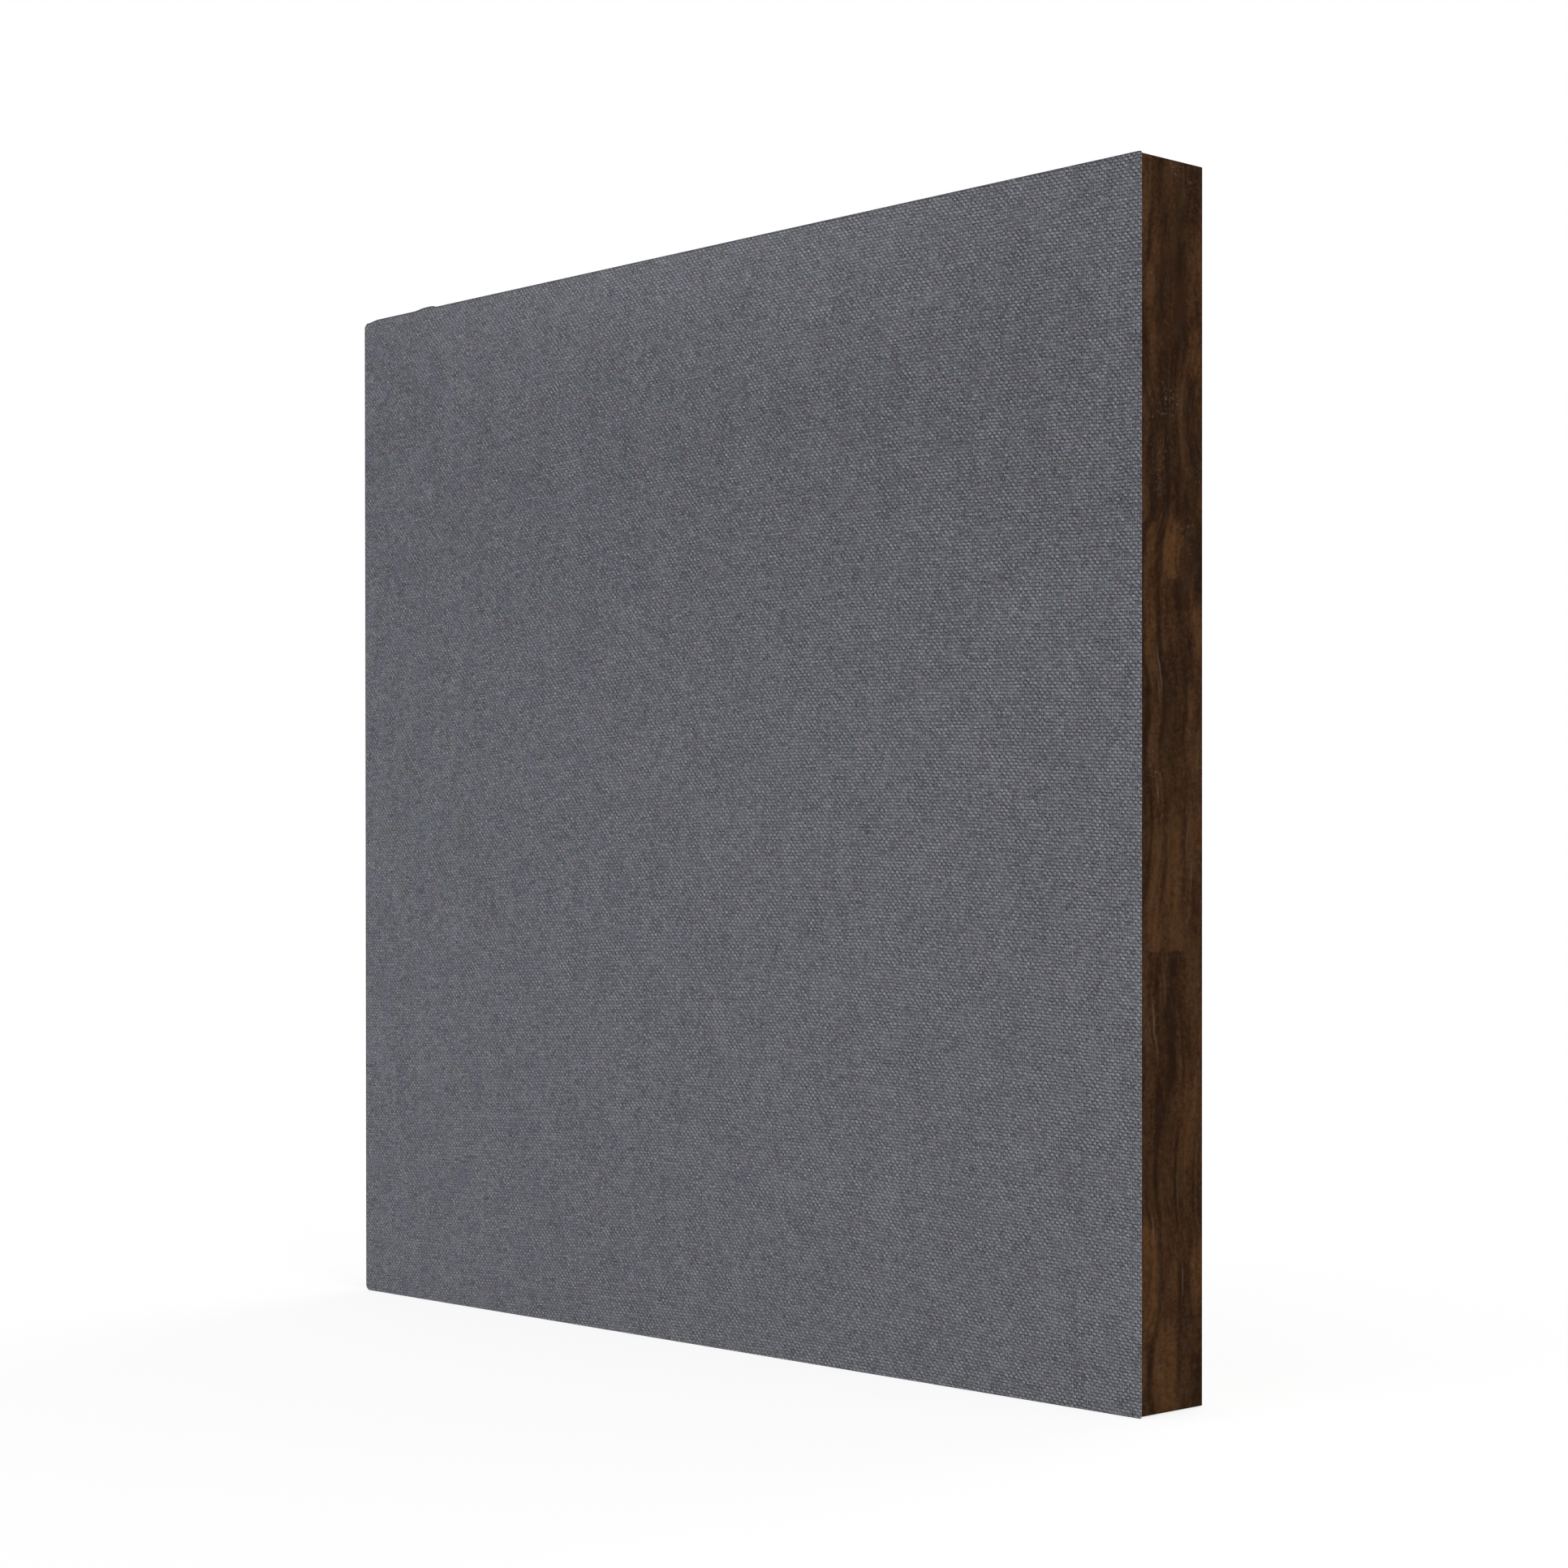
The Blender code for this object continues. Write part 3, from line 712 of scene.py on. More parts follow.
walnutSettings = {
    "dark": (0.0140, 0.0050, 0.0010),
    "deep": (0.0243, 0.0094, 0.0031),
    "middle": (0.0395, 0.0162, 0.0056),
    "light": (0.0605, 0.0296, 0.0132),
    "flame": (0.0830, 0.0360, 0.0118),
    "fleck": (0.1600, 0.1350, 0.1150),
    "worn": (0.0560, 0.0300, 0.0150),
    "pale": (0.1080, 0.0700, 0.0420),
    "olive": (0.0540, 0.0300, 0.0095),
    "haze": (0.0950, 0.0680, 0.0520),
    "edgeWidth": 0.0009,
    "rough": 0.72,
    "smooth": 0.48,
    "relief": 0.00010,
    "figured": {"Wave": 0.0012, "Length": 0.11},  # the grain of the right rail
    # (patches a metre, detail, roughness, limits, strength)
    "noises": {
        "rough": (150.0, 4.0, 0.7),
        "dots": (520.0, 3.0, 0.75, (0.56, 0.68)),
        "olive": (95.0, 3.0, 0.6, (0.50, 0.68), 0.28),
        "haze": (130.0, 5.0, 0.75, (0.52, 0.74), 0.15),
    },
    # how much each part of the figure changes the tone, and how strongly it is coloured
    "tones": {"mottle": 0.95, "ray": 0.25, "patch": 0.07, "shade": 0.20, "line": 0.22},
    "tints": {
        "flame": 0.35,
        "line": 0.65,
        "streak": 0.70,
        "fibre": 0.35,
        "speck": 0.50,
        "dusted": 0.65,
        # painted shade along the edges
        "edge": 0.50,
        "wear": 0.35,
    },
    # each rail is cut from its own place in the wood
    "shifts": {
        "rail_right": (0, 0, 0),
        "rail_left": (1.3, 0.4, 2.1),
        "rail_top": (2.7, 1.1, 0.6),
        "rail_bottom": (4.2, 0.8, 3.3),
    },
    # figure of the right rail, in metres from its top and from its back where nothing else is said
    "backPath": [
        (0.000, 0.0138), (0.080, 0.0130), (0.108, 0.0175), (0.125, 0.0175), (0.150, 0.0135), (0.178, 0.0155),
        (0.212, 0.0175), (0.240, 0.0145), (0.256, 0.0130), (0.280, 0.0160), (0.320, 0.0143), (0.355, 0.0160),
        (0.380, 0.0180), (0.425, 0.0160), (0.440, 0.0150), (0.462, 0.0190), (0.475, 0.0215), (0.490, 0.0220),
        (0.505, 0.0210), (0.518, 0.0186), (0.535, 0.0180), (0.600, 0.0190),
    ],
    "frontPath": [
        (0.000, 0.0275), (0.045, 0.0295), (0.068, 0.0325), (0.105, 0.0310), (0.135, 0.0265), (0.165, 0.0270),
        (0.179, 0.0318), (0.190, 0.0340), (0.222, 0.0348), (0.236, 0.0335), (0.254, 0.0300), (0.264, 0.0300),
        (0.282, 0.0325), (0.302, 0.0292), (0.320, 0.0282), (0.345, 0.0310), (0.360, 0.0336), (0.395, 0.0360),
        (0.414, 0.0350), (0.434, 0.0322), (0.456, 0.0345), (0.488, 0.0366), (0.516, 0.0328), (0.540, 0.0325),
        (0.560, 0.0360), (0.580, 0.0410), (0.600, 0.0385),
    ],
    "pathStep": 0.0165,  # the usual distance between the two paths
    # growth lines: (start, end, place in steps from the back path, half width in steps, strength)
    "lines": [
        (0.142, 0.296, 1.00, 0.19, 0.80),
        (0.290, 0.378, 1.00, 0.16, 0.50),
        (0.380, 0.434, 1.00, 0.16, 0.60),
        (0.436, 0.520, 1.00, 0.20, 1.00),
        (0.512, 0.566, 1.00, 0.14, 0.50),
        (0.550, 0.620, 1.00, 0.17, 0.70),
        (0.072, 0.114, 0.00, 0.16, 0.60),
        (0.230, 0.289, 0.00, 0.16, 0.65),
        (0.294, 0.369, 0.00, 0.13, 0.60),
        (0.390, 0.458, 0.00, 0.15, 0.55),
        (0.450, 0.524, 0.00, 0.13, 0.65),
        (0.512, 0.599, 0.00, 0.13, 0.60),
        (-0.02, 0.130, 1.75, 0.17, 0.50),
        (0.138, 0.292, 1.75, 0.18, 0.70),
        (0.288, 0.370, 1.81, 0.17, 0.60),
        (0.454, 0.516, -0.98, 0.12, 0.55),
    ],
    "streaks": [
        (0.229, 0.258, 1.12, 0.075, 0.90),
        (0.232, 0.266, 1.24, 0.055, 0.60),
        (0.395, 0.436, 1.16, 0.075, 0.90),
        (0.381, 0.410, 0.65, 0.070, 0.55),
        (0.404, 0.430, 1.38, 0.060, 0.50),
        (0.312, 0.338, -0.16, 0.065, 0.65),
        (0.332, 0.360, -0.37, 0.070, 0.45),
        (0.292, 0.312, 1.42, 0.080, 0.85),
        (0.501, 0.522, 1.38, 0.080, 0.90),
        (0.526, 0.550, -0.14, 0.070, 0.70),
        (0.474, 0.514, -0.13, 0.060, 0.50),
    ],
    # lighter patches: (from the top, from the back, half length, half width, strength),
    # with the place of a joint where one cuts them off
    "patches": [
        (0.186, 0.0235, 0.018, 0.0085, 1.00, 0.2005),
        (0.186, 0.0395, 0.015, 0.0045, 0.45),
        (0.224, 0.0400, 0.028, 0.0050, 0.80),
        (0.061, 0.0425, 0.010, 0.0065, 0.60),
        (0.018, 0.0470, 0.022, 0.0045, 0.45),
        (0.095, 0.0370, 0.014, 0.0040, 0.10),
        (0.050, 0.0075, 0.022, 0.0060, 0.35),
        (0.090, 0.0060, 0.014, 0.0060, 0.70),
        (0.223, 0.0030, 0.016, 0.0065, 0.45),
        (0.276, 0.0080, 0.026, 0.0055, 0.45),
        (0.320, 0.0030, 0.014, 0.0045, 0.65),
        (0.350, 0.0230, 0.045, 0.0080, 0.48, 0.379),
        (0.352, 0.0372, 0.045, 0.0060, 0.42, 0.379),
        (0.452, 0.0095, 0.022, 0.0060, 0.55),
        (0.400, 0.0085, 0.030, 0.0050, 0.45),
        (0.536, 0.0440, 0.030, 0.0090, 1.60),
        (0.582, 0.0300, 0.028, 0.0100, 0.95),
        (0.535, 0.0040, 0.018, 0.0060, 0.90),
        (0.576, 0.0465, 0.014, 0.0035, 0.60),
    ],
    "shades": [
        (0.014, 0.0075, 0.022, 0.0075, 0.80),
        (0.050, 0.0240, 0.036, 0.0100, 0.80),
        (0.074, 0.0330, 0.016, 0.0055, 0.80),
        (0.093, 0.0240, 0.018, 0.0095, 0.40),
        (0.140, 0.0340, 0.036, 0.0130, 1.00),
        (0.092, 0.0455, 0.024, 0.0040, 0.75),
        (0.138, 0.0055, 0.034, 0.0070, 1.00),
        (0.188, 0.0050, 0.026, 0.0070, 1.70),
        (0.157, 0.0190, 0.016, 0.0095, 0.70),
        (0.206, 0.0160, 0.010, 0.0080, 0.70, 0.2005),
        (0.262, 0.0220, 0.032, 0.0095, 1.00),
        (0.412, 0.0240, 0.040, 0.0130, 0.60, 0.379),
        (0.385, 0.0200, 0.010, 0.0070, 1.20, 0.379),
        (0.387, 0.0365, 0.012, 0.0055, 1.00, 0.379),
        (0.456, 0.0300, 0.030, 0.0070, 1.00),
        (0.590, 0.0040, 0.018, 0.0085, 0.95),
    ],
    # pale specks left by the sanding
    "dusted": [
        (0.003, 0.0200, 0.005, 0.0070, 1.00),
        (0.009, 0.0100, 0.005, 0.0045, 0.80),
        (0.116, 0.0280, 0.010, 0.0120, 1.00),
        (0.119, 0.0420, 0.010, 0.0050, 0.60),
        (0.148, 0.0070, 0.008, 0.0070, 0.70),
        (0.141, 0.0300, 0.013, 0.0110, 0.50),
        (0.153, 0.0350, 0.011, 0.0070, 0.60),
        (0.180, 0.0090, 0.011, 0.0050, 0.60),
        (0.291, 0.0370, 0.010, 0.0070, 0.80),
        (0.291, 0.0040, 0.006, 0.0050, 0.60),
    ],
}


def grainGroup(settings):
    # sawn wood with its grain along Z: broad streaks, dark growth lines, lighter flames, fibres and specks
    tree, given = newTree("woodGrain", "Vector", settings["values"])
    x, y, z = split(given["Vector"])
    waver = speckle(join(x * 12, y * 12, z * 10), 1.0, 2.0, 0.42).of("Color")
    sway = given["Wave"] * settings["sway"]
    bent = [place + (part - 0.5) * sway for place, part in zip((x, y), split(waver))]
    parts = {}
    for name, (width, length, *cloud) in settings["parts"].items():
        across, down = given["Width"] * width, given["Length"] * length
        parts[name] = speckle(join(*[place / across for place in bent], z / down), 1.0, *cloud)
    ring = spread(abs(parts["ring"] - 0.5), 0.060, 0.0, smooth=True)
    speckPatch = speckle(given["Vector"], 30.0, between=(0.56, 0.66))
    return finishTree(
        tree,
        Streak=parts["streak"],
        Line=ring * parts["ringFade"],
        Mottle=parts["mottle"],
        Flame=spread(parts["flame"], 0.54, 0.66, smooth=True),
        Fibre=parts["fibreDots"] * parts["fibrePatch"],
        Speck=speckPatch * parts["speckDots"],
        Ray=parts["ray"],  # fine rays across the grain
    )


def edgeGroup():
    # how near a place is to the edges of a box, which is painted shade along them, broken up so that the
    # wear isn't even
    values = {"Low": (0, 0, 0), "High": (0, 0, 0), "Edge Width": 0.001}
    tree, given = newTree("edgeShadeAndWear", "Vector", values)
    near = []
    for place, low, high in zip(*(split(given[name]) for name in ("Vector", "Low", "High"))):
        near.append(spread(calc("MINIMUM", place - low, high - place), given["Edge Width"], 0.0))
    pairs = [near[i] * near[(i + 1) % 3] for i in range(3)]
    edge = calc("MAXIMUM", calc("MAXIMUM", pairs[0], pairs[1]), pairs[2])
    rubbed = speckle(given["Vector"], 60.0, 4.0, 0.7, between=(0.45, 0.65))
    return finishTree(tree, Edge=edge, Wear=edge * rubbed)


grain = grainGroup(grainSettings)
edgeShadeAndWear = edgeGroup()


def pathCurve(fromTop, points):
    # how far from the back a path lies, smoothly through its points
    made = add(fromTop.tree, "ShaderNodeFloatCurve", {"Value": fromTop / frameTop})
    depth = railBack - railFront
    mapping = made.node.mapping
    laid = mapping.curves[0].points
    while len(laid) < len(points):
        laid.new(0.5, 0.5)
    for point, (down, out) in zip(laid, points):
        point.location = (down / frameTop, out / depth)
    mapping.update()
    return made * depth


def lineMask(fromTop, step, lines):
    # the strongest of a few lines that lie along the grain, each fading at its ends
    mask = 0.0
    for start, end, at, halfWidth, strength in lines:
        fade = min(0.020, (end - start) / 2.2)
        line = spread(abs(step - at), halfWidth, 0.0, 0.0, strength, smooth=True)
        for low, high in ((start, start + fade), (end, end - fade)):
            line *= spread(fromTop, low, high, smooth=True)
        mask = calc("MAXIMUM", mask, line)
    return mask


def patchMask(fromTop, fromBack, rough, patches):
    # the strongest of a few soft ovals, each broken up at its edge
    mask = 0.0
    for centreDown, centreOut, halfLength, halfWidth, strength, *joint in patches:
        along = (fromTop - centreDown) / halfLength
        across = (fromBack - centreOut) / halfWidth
        reach = abs(along) ** 3.0 + across * across + rough * 2.6
        patch = spread(reach, 1.3, -0.1, 0.0, strength, smooth=True)
        for place in joint:
            side = math.copysign(0.0007, place - centreDown)
            patch *= spread(fromTop, place + side, place - side)
        mask = calc("MAXIMUM", mask, patch)
    return mask


def walnutMaterial(rail, settings, shift):
    material, place = newMaterial(rail + "_walnut", Specular_IOR_Level=0.03)
    tones, tints, noises = settings["tones"], settings["tints"], settings["noises"]
    figured = rail == "rail_right"
    if figured:
        # the grain follows two growth lines
        x, y, z = split(place)
        fromTop, fromBack = frameTop - z, railBack - y
        backPath, frontPath = (pathCurve(fromTop, settings[path]) for path in ("backPath", "frontPath"))
        step = (fromBack - backPath) / (frontPath - backPath)
        laid = join(x, step * settings["pathStep"], z)
        wood = placed(grain, laid, **settings["figured"])
    else:
        turn = math.radians(90) if rail in ("rail_top", "rail_bottom") else 0
        laid = mapped(place, Location=shift, Rotation=(0, turn, 0))
        wood = placed(grain, laid)
    tone = wood["Streak"] + (wood["Mottle"] - 0.5) * tones["mottle"] + (wood["Ray"] - 0.5) * tones["ray"]
    line, speck, flame = wood["Line"], wood["Speck"] * tints["speck"], wood["Flame"] * tints["flame"]
    streak = 0.0
    drawn = mapped(laid, Scale=(1.0, 1.0, 0.45))
    if figured:
        rough = speckle(drawn, *noises["rough"]) - 0.5
        patch = patchMask(fromTop, fromBack, rough, settings["patches"])
        shade = patchMask(fromTop, fromBack, rough, settings["shades"])
        dusted = patchMask(fromTop, fromBack, rough, settings["dusted"])
        flame = calc("MAXIMUM", flame, patch)
        tone = tone + patch * tones["patch"] - shade * tones["shade"]
        worked = step + rough * 0.25
        broken = spread(rough, -0.22, 0.05, 0.45, 1.0)
        line, streak = (lineMask(fromTop, worked, settings[part]) * broken for part in ("lines", "streaks"))
        dots = speckle(place, *noises["dots"])
        speck = calc("MAXIMUM", speck, dusted * dots * tints["dusted"])
    tone -= line * tones["line"]
    stops = ((0.28, "dark"), (0.42, "deep"), (0.56, "middle"), (0.76, "light"))
    low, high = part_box(rail)
    edges = placed(edgeShadeAndWear, place, Low=low, High=high, Edge_Width=settings["edgeWidth"])
    colour = layered(
        ramp(tone, *((at, settings[colour]) for at, colour in stops)),
        (flame, blendColour(spread(tone, 0.36, 0.62), settings["middle"], settings["flame"])),
        (speckle(drawn, *noises["olive"]), settings["olive"]),
        (line * tints["line"], settings["dark"]),
        (speckle(drawn, *noises["haze"]), settings["haze"]),
        (streak * tints["streak"], settings["pale"]),
        (wood["Fibre"] * tints["fibre"], settings["flame"]),
        (speck, settings["fleck"]),
        # painted shade along the rail's edges, then real wear
        (edges["Edge"] * tints["edge"], settings["dark"]),
        (edges["Wear"] * tints["wear"], settings["worn"]),
    )
    height = wood["Mottle"] + wood["Fibre"] - line * 0.5
    roughness = blendNumber(wood["Mottle"], settings["rough"], settings["smooth"])
    return finishMaterial(material, colour, height, settings["relief"], roughness)


for name, shift in walnutSettings["shifts"].items():
    dress(name, walnutMaterial(name, walnutSettings, shift))
print("walnut rails finished")


# plywood corner plates and batten, and the beech keys

plySettings = {
    "pale": (0.560, 0.400, 0.240),
    "middle": (0.470, 0.310, 0.170),
    "line": (0.330, 0.195, 0.095),
    "glue": (0.110, 0.065, 0.035),
    "dust": (0.300, 0.270, 0.230),
    "plies": 5,
    "grain": {"Wave": 0.010, "Width": 0.018, "Length": 0.5},
    "rough": 0.72,
    "smooth": 0.5,
    "relief": 0.0001,
    # end grain and dust: (patches a metre, detail, roughness, limits, strength)
    "cut": (2600.0, 2.0, 0.5, (0.35, 0.70), 0.50),
    "dusted": (35.0, 4.0, 0.7, (0.55, 0.75), 0.25),
    # degrees that the grain is turned from upright
    "turns": {
        "gusset_top_left": 90,
        "gusset_top_right": 86,
        "gusset_bottom_left": 3,
        "gusset_bottom_right": 92,
        "cross_batten": 90,
    },
}

keySettings = {
    "dark": (0.42, 0.26, 0.15),
    "pale": (0.58, 0.39, 0.24),
    "grain": {"Width": 0.003, "Length": 0.03},
    "relief": 0.00006,
}


def plyMaterial(name, settings, turn, shift):
    material, place = newMaterial(name, Specular_IOR_Level=0.3)
    laid = mapped(place, Location=shift, Rotation=(0, math.radians(turn), 0))
    wood = placed(grain, laid, **settings["grain"])
    tone = wood["Streak"] + (wood["Mottle"] - 0.5) * 0.35
    veneer = ramp(tone, (0.3, settings["line"]), (0.45, settings["middle"]), (0.65, settings["pale"]))
    veneer = blendColour(wood["Line"] * 0.35, veneer, settings["line"])
    # the sawn edges show the plies, end grain and long grain in turn
    _, depth, _ = split(place)
    layer = (depth - plyLow.y) / ((plyHigh.y - plyLow.y) / settings["plies"])
    turned = calc("FLOORED_MODULO", calc("FLOOR", layer), 2.0)
    glue = spread(abs(calc("FRACT", layer) - 0.5), 0.43, 0.49)
    _, facing, _ = split(add(place.tree, "ShaderNodeNewGeometry").of("True Normal"))
    colour = layered(
        blendColour(turned, settings["pale"], settings["line"]),
        (speckle(place, *settings["cut"]), settings["glue"]),
        (glue, settings["glue"]),
        (spread(abs(facing), 0.85, 0.98), veneer),
        (speckle(place, *settings["dusted"]), settings["dust"]),
    )
    height = wood["Mottle"] * 0.6 - wood["Line"]
    roughness = blendNumber(wood["Mottle"], settings["rough"], settings["smooth"])
    return finishMaterial(material, colour, height, settings["relief"], roughness)


def keyMaterial(settings):
    material, place = newMaterial("beechKey", Roughness=0.6)
    mottle = placed(grain, place, **settings["grain"])["Mottle"]
    colour = ramp(mottle, (0.3, settings["dark"]), (0.7, settings["pale"]))
    return finishMaterial(material, colour, mottle, settings["relief"])


for index, (name, turn) in enumerate(plySettings["turns"].items()):
    dress(name, plyMaterial(name + "_ply", plySettings, turn, (0.7 * index, 0.3, 0.9 * index)))
beech = keyMaterial(keySettings)
for name in cad:
    if name.startswith("mitre_key"):
        dress(name, beech)
print("plywood and keys finished")


# the fibre slab

coreSettings = {
    "step": 0.008,
    "rounding": 0.003,
    "swell": 0.0004,  # stays between the cloth and the dust cloth
    "swellSize": 0.03,
    "pale": (0.520, 0.490, 0.420),
    "dark": (0.300, 0.280, 0.230),
    "strands": (400.0, 2600.0, 400.0),  # a metre across, deep and up
    "lumps": (60.0, 3.0),  # patches a metre, and detail
    "relief": 0.0006,
}


def coreMaterial(settings):
    material, place = newMaterial("pressedFibre", Roughness=0.95, Specular_IOR_Level=0.1)
    laid = join(*[part * count for part, count in zip(split(place), settings["strands"])])
    strands = speckle(laid, 1.0, 4.0, 0.7)
    lumps = speckle(place, *settings["lumps"])
    colour = ramp(strands + (lumps - 0.5) * 0.5, (0.3, settings["dark"]), (0.7, settings["pale"]))
    return finishMaterial(material, colour, strands, settings["relief"])


def coreMesh(settings):
    # a slab with soft edges and a slightly uneven surface, inside the space of its solid
    low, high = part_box("fibre_core")
    size, centre = high - low, (low + high) / 2
    mesh = bmesh.new()
    bmesh.ops.create_cube(mesh, size=1)
    bmesh.ops.scale(mesh, vec=size, verts=mesh.verts)
    bmesh.ops.translate(mesh, vec=centre, verts=mesh.verts)
    rounding = settings["rounding"]
    bmesh.ops.bevel(mesh, geom=mesh.edges, offset=rounding, segments=3, affect="EDGES", profile=0.5)
    wide = [edge for edge in mesh.edges if edge.calc_length() > size.x / 2]
    bmesh.ops.subdivide_edges(mesh, edges=wide, cuts=round(size.x / settings["step"]), use_grid_fill=True)
    for vertex in mesh.verts:
        sunk = settings["swell"] * (0.5 + noise.noise(vertex.co / settings["swellSize"]))
        vertex.co.y += math.copysign(sunk, centre.y - vertex.co.y)
    bmesh.ops.recalc_face_normals(mesh, faces=mesh.faces)
    made = plainMesh(mesh)
    made.shade_smooth()
    return made


core = newPiece("fibre_slab", coreMesh(coreSettings), coreMaterial(coreSettings))
finishPiece(core, "fibre", "fibre_core")
print("fibre slab made")


# the staples and the dust cloth that they hold

stapleSettings = {
    "across": (0.025, 0.085, 0.145),  # from the middle of the top and bottom rails
    "upright": (0.050, 0.0975, 0.145),  # from the middle of the side rails, clear of the batten
    "inset": 0.0120,  # from the outer face, to the middle of the ledge
    "shape": {
        "Crown": 0.0100,
        "Leg": 0.0080,
        "Wire Width": 0.0012,
        "Wire Thick": 0.0007,
        "Bend": 0.0008,
        "Askew": math.radians(6.0),
        "Seed": 3,
    },
}


def staplePlaces(settings):
    points, turns = [], []
    y = scrimHigh.y + settings["shape"]["Wire Thick"] / 2
    reach = middle - settings["inset"]
    for side in (-1, 1):
        for way in (-1, 1):
            for offset in settings["across"]:
                points.append((way * offset, y, middle + side * reach))
                turns.append(0.0)
            for offset in settings["upright"]:
                points.append((side * (frameHalf - settings["inset"]), y, middle + way * offset))
                turns.append(math.radians(90))
    return points, turns


def stapleTree(values):
    tree, given = newTree("staples", "Geometry", values)
    # four points: the foot and the shoulder of each leg
    line = add(tree, "GeometryNodeMeshLine", {"Count": 4})
    index = add(tree, "GeometryNodeInputIndex")
    side = calc("GREATER_THAN", index, 1.5) * 2.0 - 1.0
    foot = calc("GREATER_THAN", abs(index - 1.5), 1.0)
    place = join(side * 0.5 * given["Crown"], -foot * given["Leg"], 0.0)
    bentLine = add(tree, "GeometryNodeSetPosition", {"Geometry": line, "Position": place})
    curve = add(tree, "GeometryNodeMeshToCurve", {"Mesh": bentLine})
    inputs = {"Curve": curve, "Radius": given["Bend"], "Count": 4}
    bend = add(tree, "GeometryNodeFilletCurve", inputs, mode="POLY")
    inputs = {"Width": given["Wire Width"], "Height": given["Wire Thick"]}
    section = add(tree, "GeometryNodeCurvePrimitiveQuadrilateral", inputs)
    inputs = {"Curve": section, "Radius": given["Wire Thick"] * 0.3, "Count": 2}
    softSection = add(tree, "GeometryNodeFilletCurve", inputs, mode="POLY")
    inputs = {"Curve": bend, "Profile Curve": softSection, "Fill Caps": True}
    wire = add(tree, "GeometryNodeCurveToMesh", inputs)
    turn = add(tree, "GeometryNodeInputNamedAttribute", {"Name": "turn"}, data_type="FLOAT")
    angle = turn + randomTurn(given["Seed"], -given["Askew"], given["Askew"])
    inputs = {"Points": given["Geometry"], "Instance": wire, "Rotation": join(0.0, angle, 0.0)}
    return finishShape(add(tree, "GeometryNodeInstanceOnPoints", inputs), given)


metalSettings = {
    "zincPlate": {
        "bright": (0.66, 0.66, 0.65),
        "dull": (0.50, 0.50, 0.49),
        "stain": (0.32, 0.30, 0.27),
        "smooth": 0.22,  # roughness where it is brightest and where it is dull
        "rough": 0.42,
        "metallic": 1.0,
        "relief": 0.00001,
    },
    "blackSteel": {
        "bright": (0.040, 0.040, 0.044),
        "dull": (0.018, 0.018, 0.020),
        "stain": (0.070, 0.052, 0.040),
        "smooth": 0.30,
        "rough": 0.50,
        "metallic": 0.8,
        "relief": 0.00001,
    },
}


def metalGroup():
    # cloudy tone, fine scratches and small spots of stain on sheet and wire
    scales = {"Cloud Scale": 260.0, "Spot Scale": 700.0, "Scratch Scale": 900.0}
    tree, given = newTree("metalFinish", "Vector", scales)
    brushed = mapped(given["Vector"], Scale=(10.0, 1.0, 1.0))
    return finishTree(
        tree,
        Cloud=speckle(given["Vector"], given["Cloud Scale"], 4.0, 0.6),
        Spot=speckle(given["Vector"], given["Spot Scale"], 3.0, 0.7, between=(0.62, 0.75)),
        Scratch=speckle(brushed, given["Scratch Scale"]),
    )


def metalMaterial(name, settings, finish):
    material, place = newMaterial(name, Metallic=settings["metallic"])
    surface = placed(finish, place)
    colour = ramp(surface["Cloud"], (0.35, settings["dull"]), (0.65, settings["bright"]))
    colour = blendColour(surface["Spot"] * 0.5, colour, settings["stain"])
    rough = blendNumber(surface["Cloud"], settings["smooth"], settings["rough"])
    rough += surface["Scratch"] * 0.15
    return finishMaterial(material, colour, surface["Scratch"], settings["relief"], rough)


metalFinish = metalGroup()
zinc, blackSteel = (metalMaterial(name, values, metalFinish) for name, values in metalSettings.items())


def addStaples(settings, material):
    points, turns = staplePlaces(settings)
    values = {**settings["shape"], "Finish": material}
    mesh = shapeWith(stapleTree(values), pointMesh("staplePoints", points, turns), values)
    return finishPiece(newPiece("scrim_staples", mesh, material), "zinc")


staples = addStaples(stapleSettings, zinc)
print("staples made")


dustSettings = {
    "step": 0.0042,
    "flatCorner": 0.016,  # how far past the corner plates it stays flat
    "shape": {
        "Ledge": 0.008,
        "Free": 0.05,  # how far in from its edge it hangs free
        "Batten Clear": 0.002,
        "Batten Fade": 0.035,
        "Corner Fade": 0.05,
        "Corner Pucker": 0.004,  # the folds fade in over this, up to where the slack begins
        "Slack": 0.0016,  # how far it stands off the slab between its fixings
        "Pucker": 0.0004,
        "Pucker Reach": 0.016,
    },
    "wall": {"thickness": 0.0005, "offset": -1},
    "dark": (0.0090, 0.0090, 0.0100),
    "light": (0.0260, 0.0260, 0.0280),
    "bondPitch": 0.0022,
    # (patches a metre, detail, roughness), with limits where given
    "billow": (11.0, 2.0, 0.4, (0.3, 0.7)),
    "fibres": (2600.0, 4.0, 0.75),
    "clumps": (240.0, 3.0, 0.7),
    "relief": 0.00025,
}


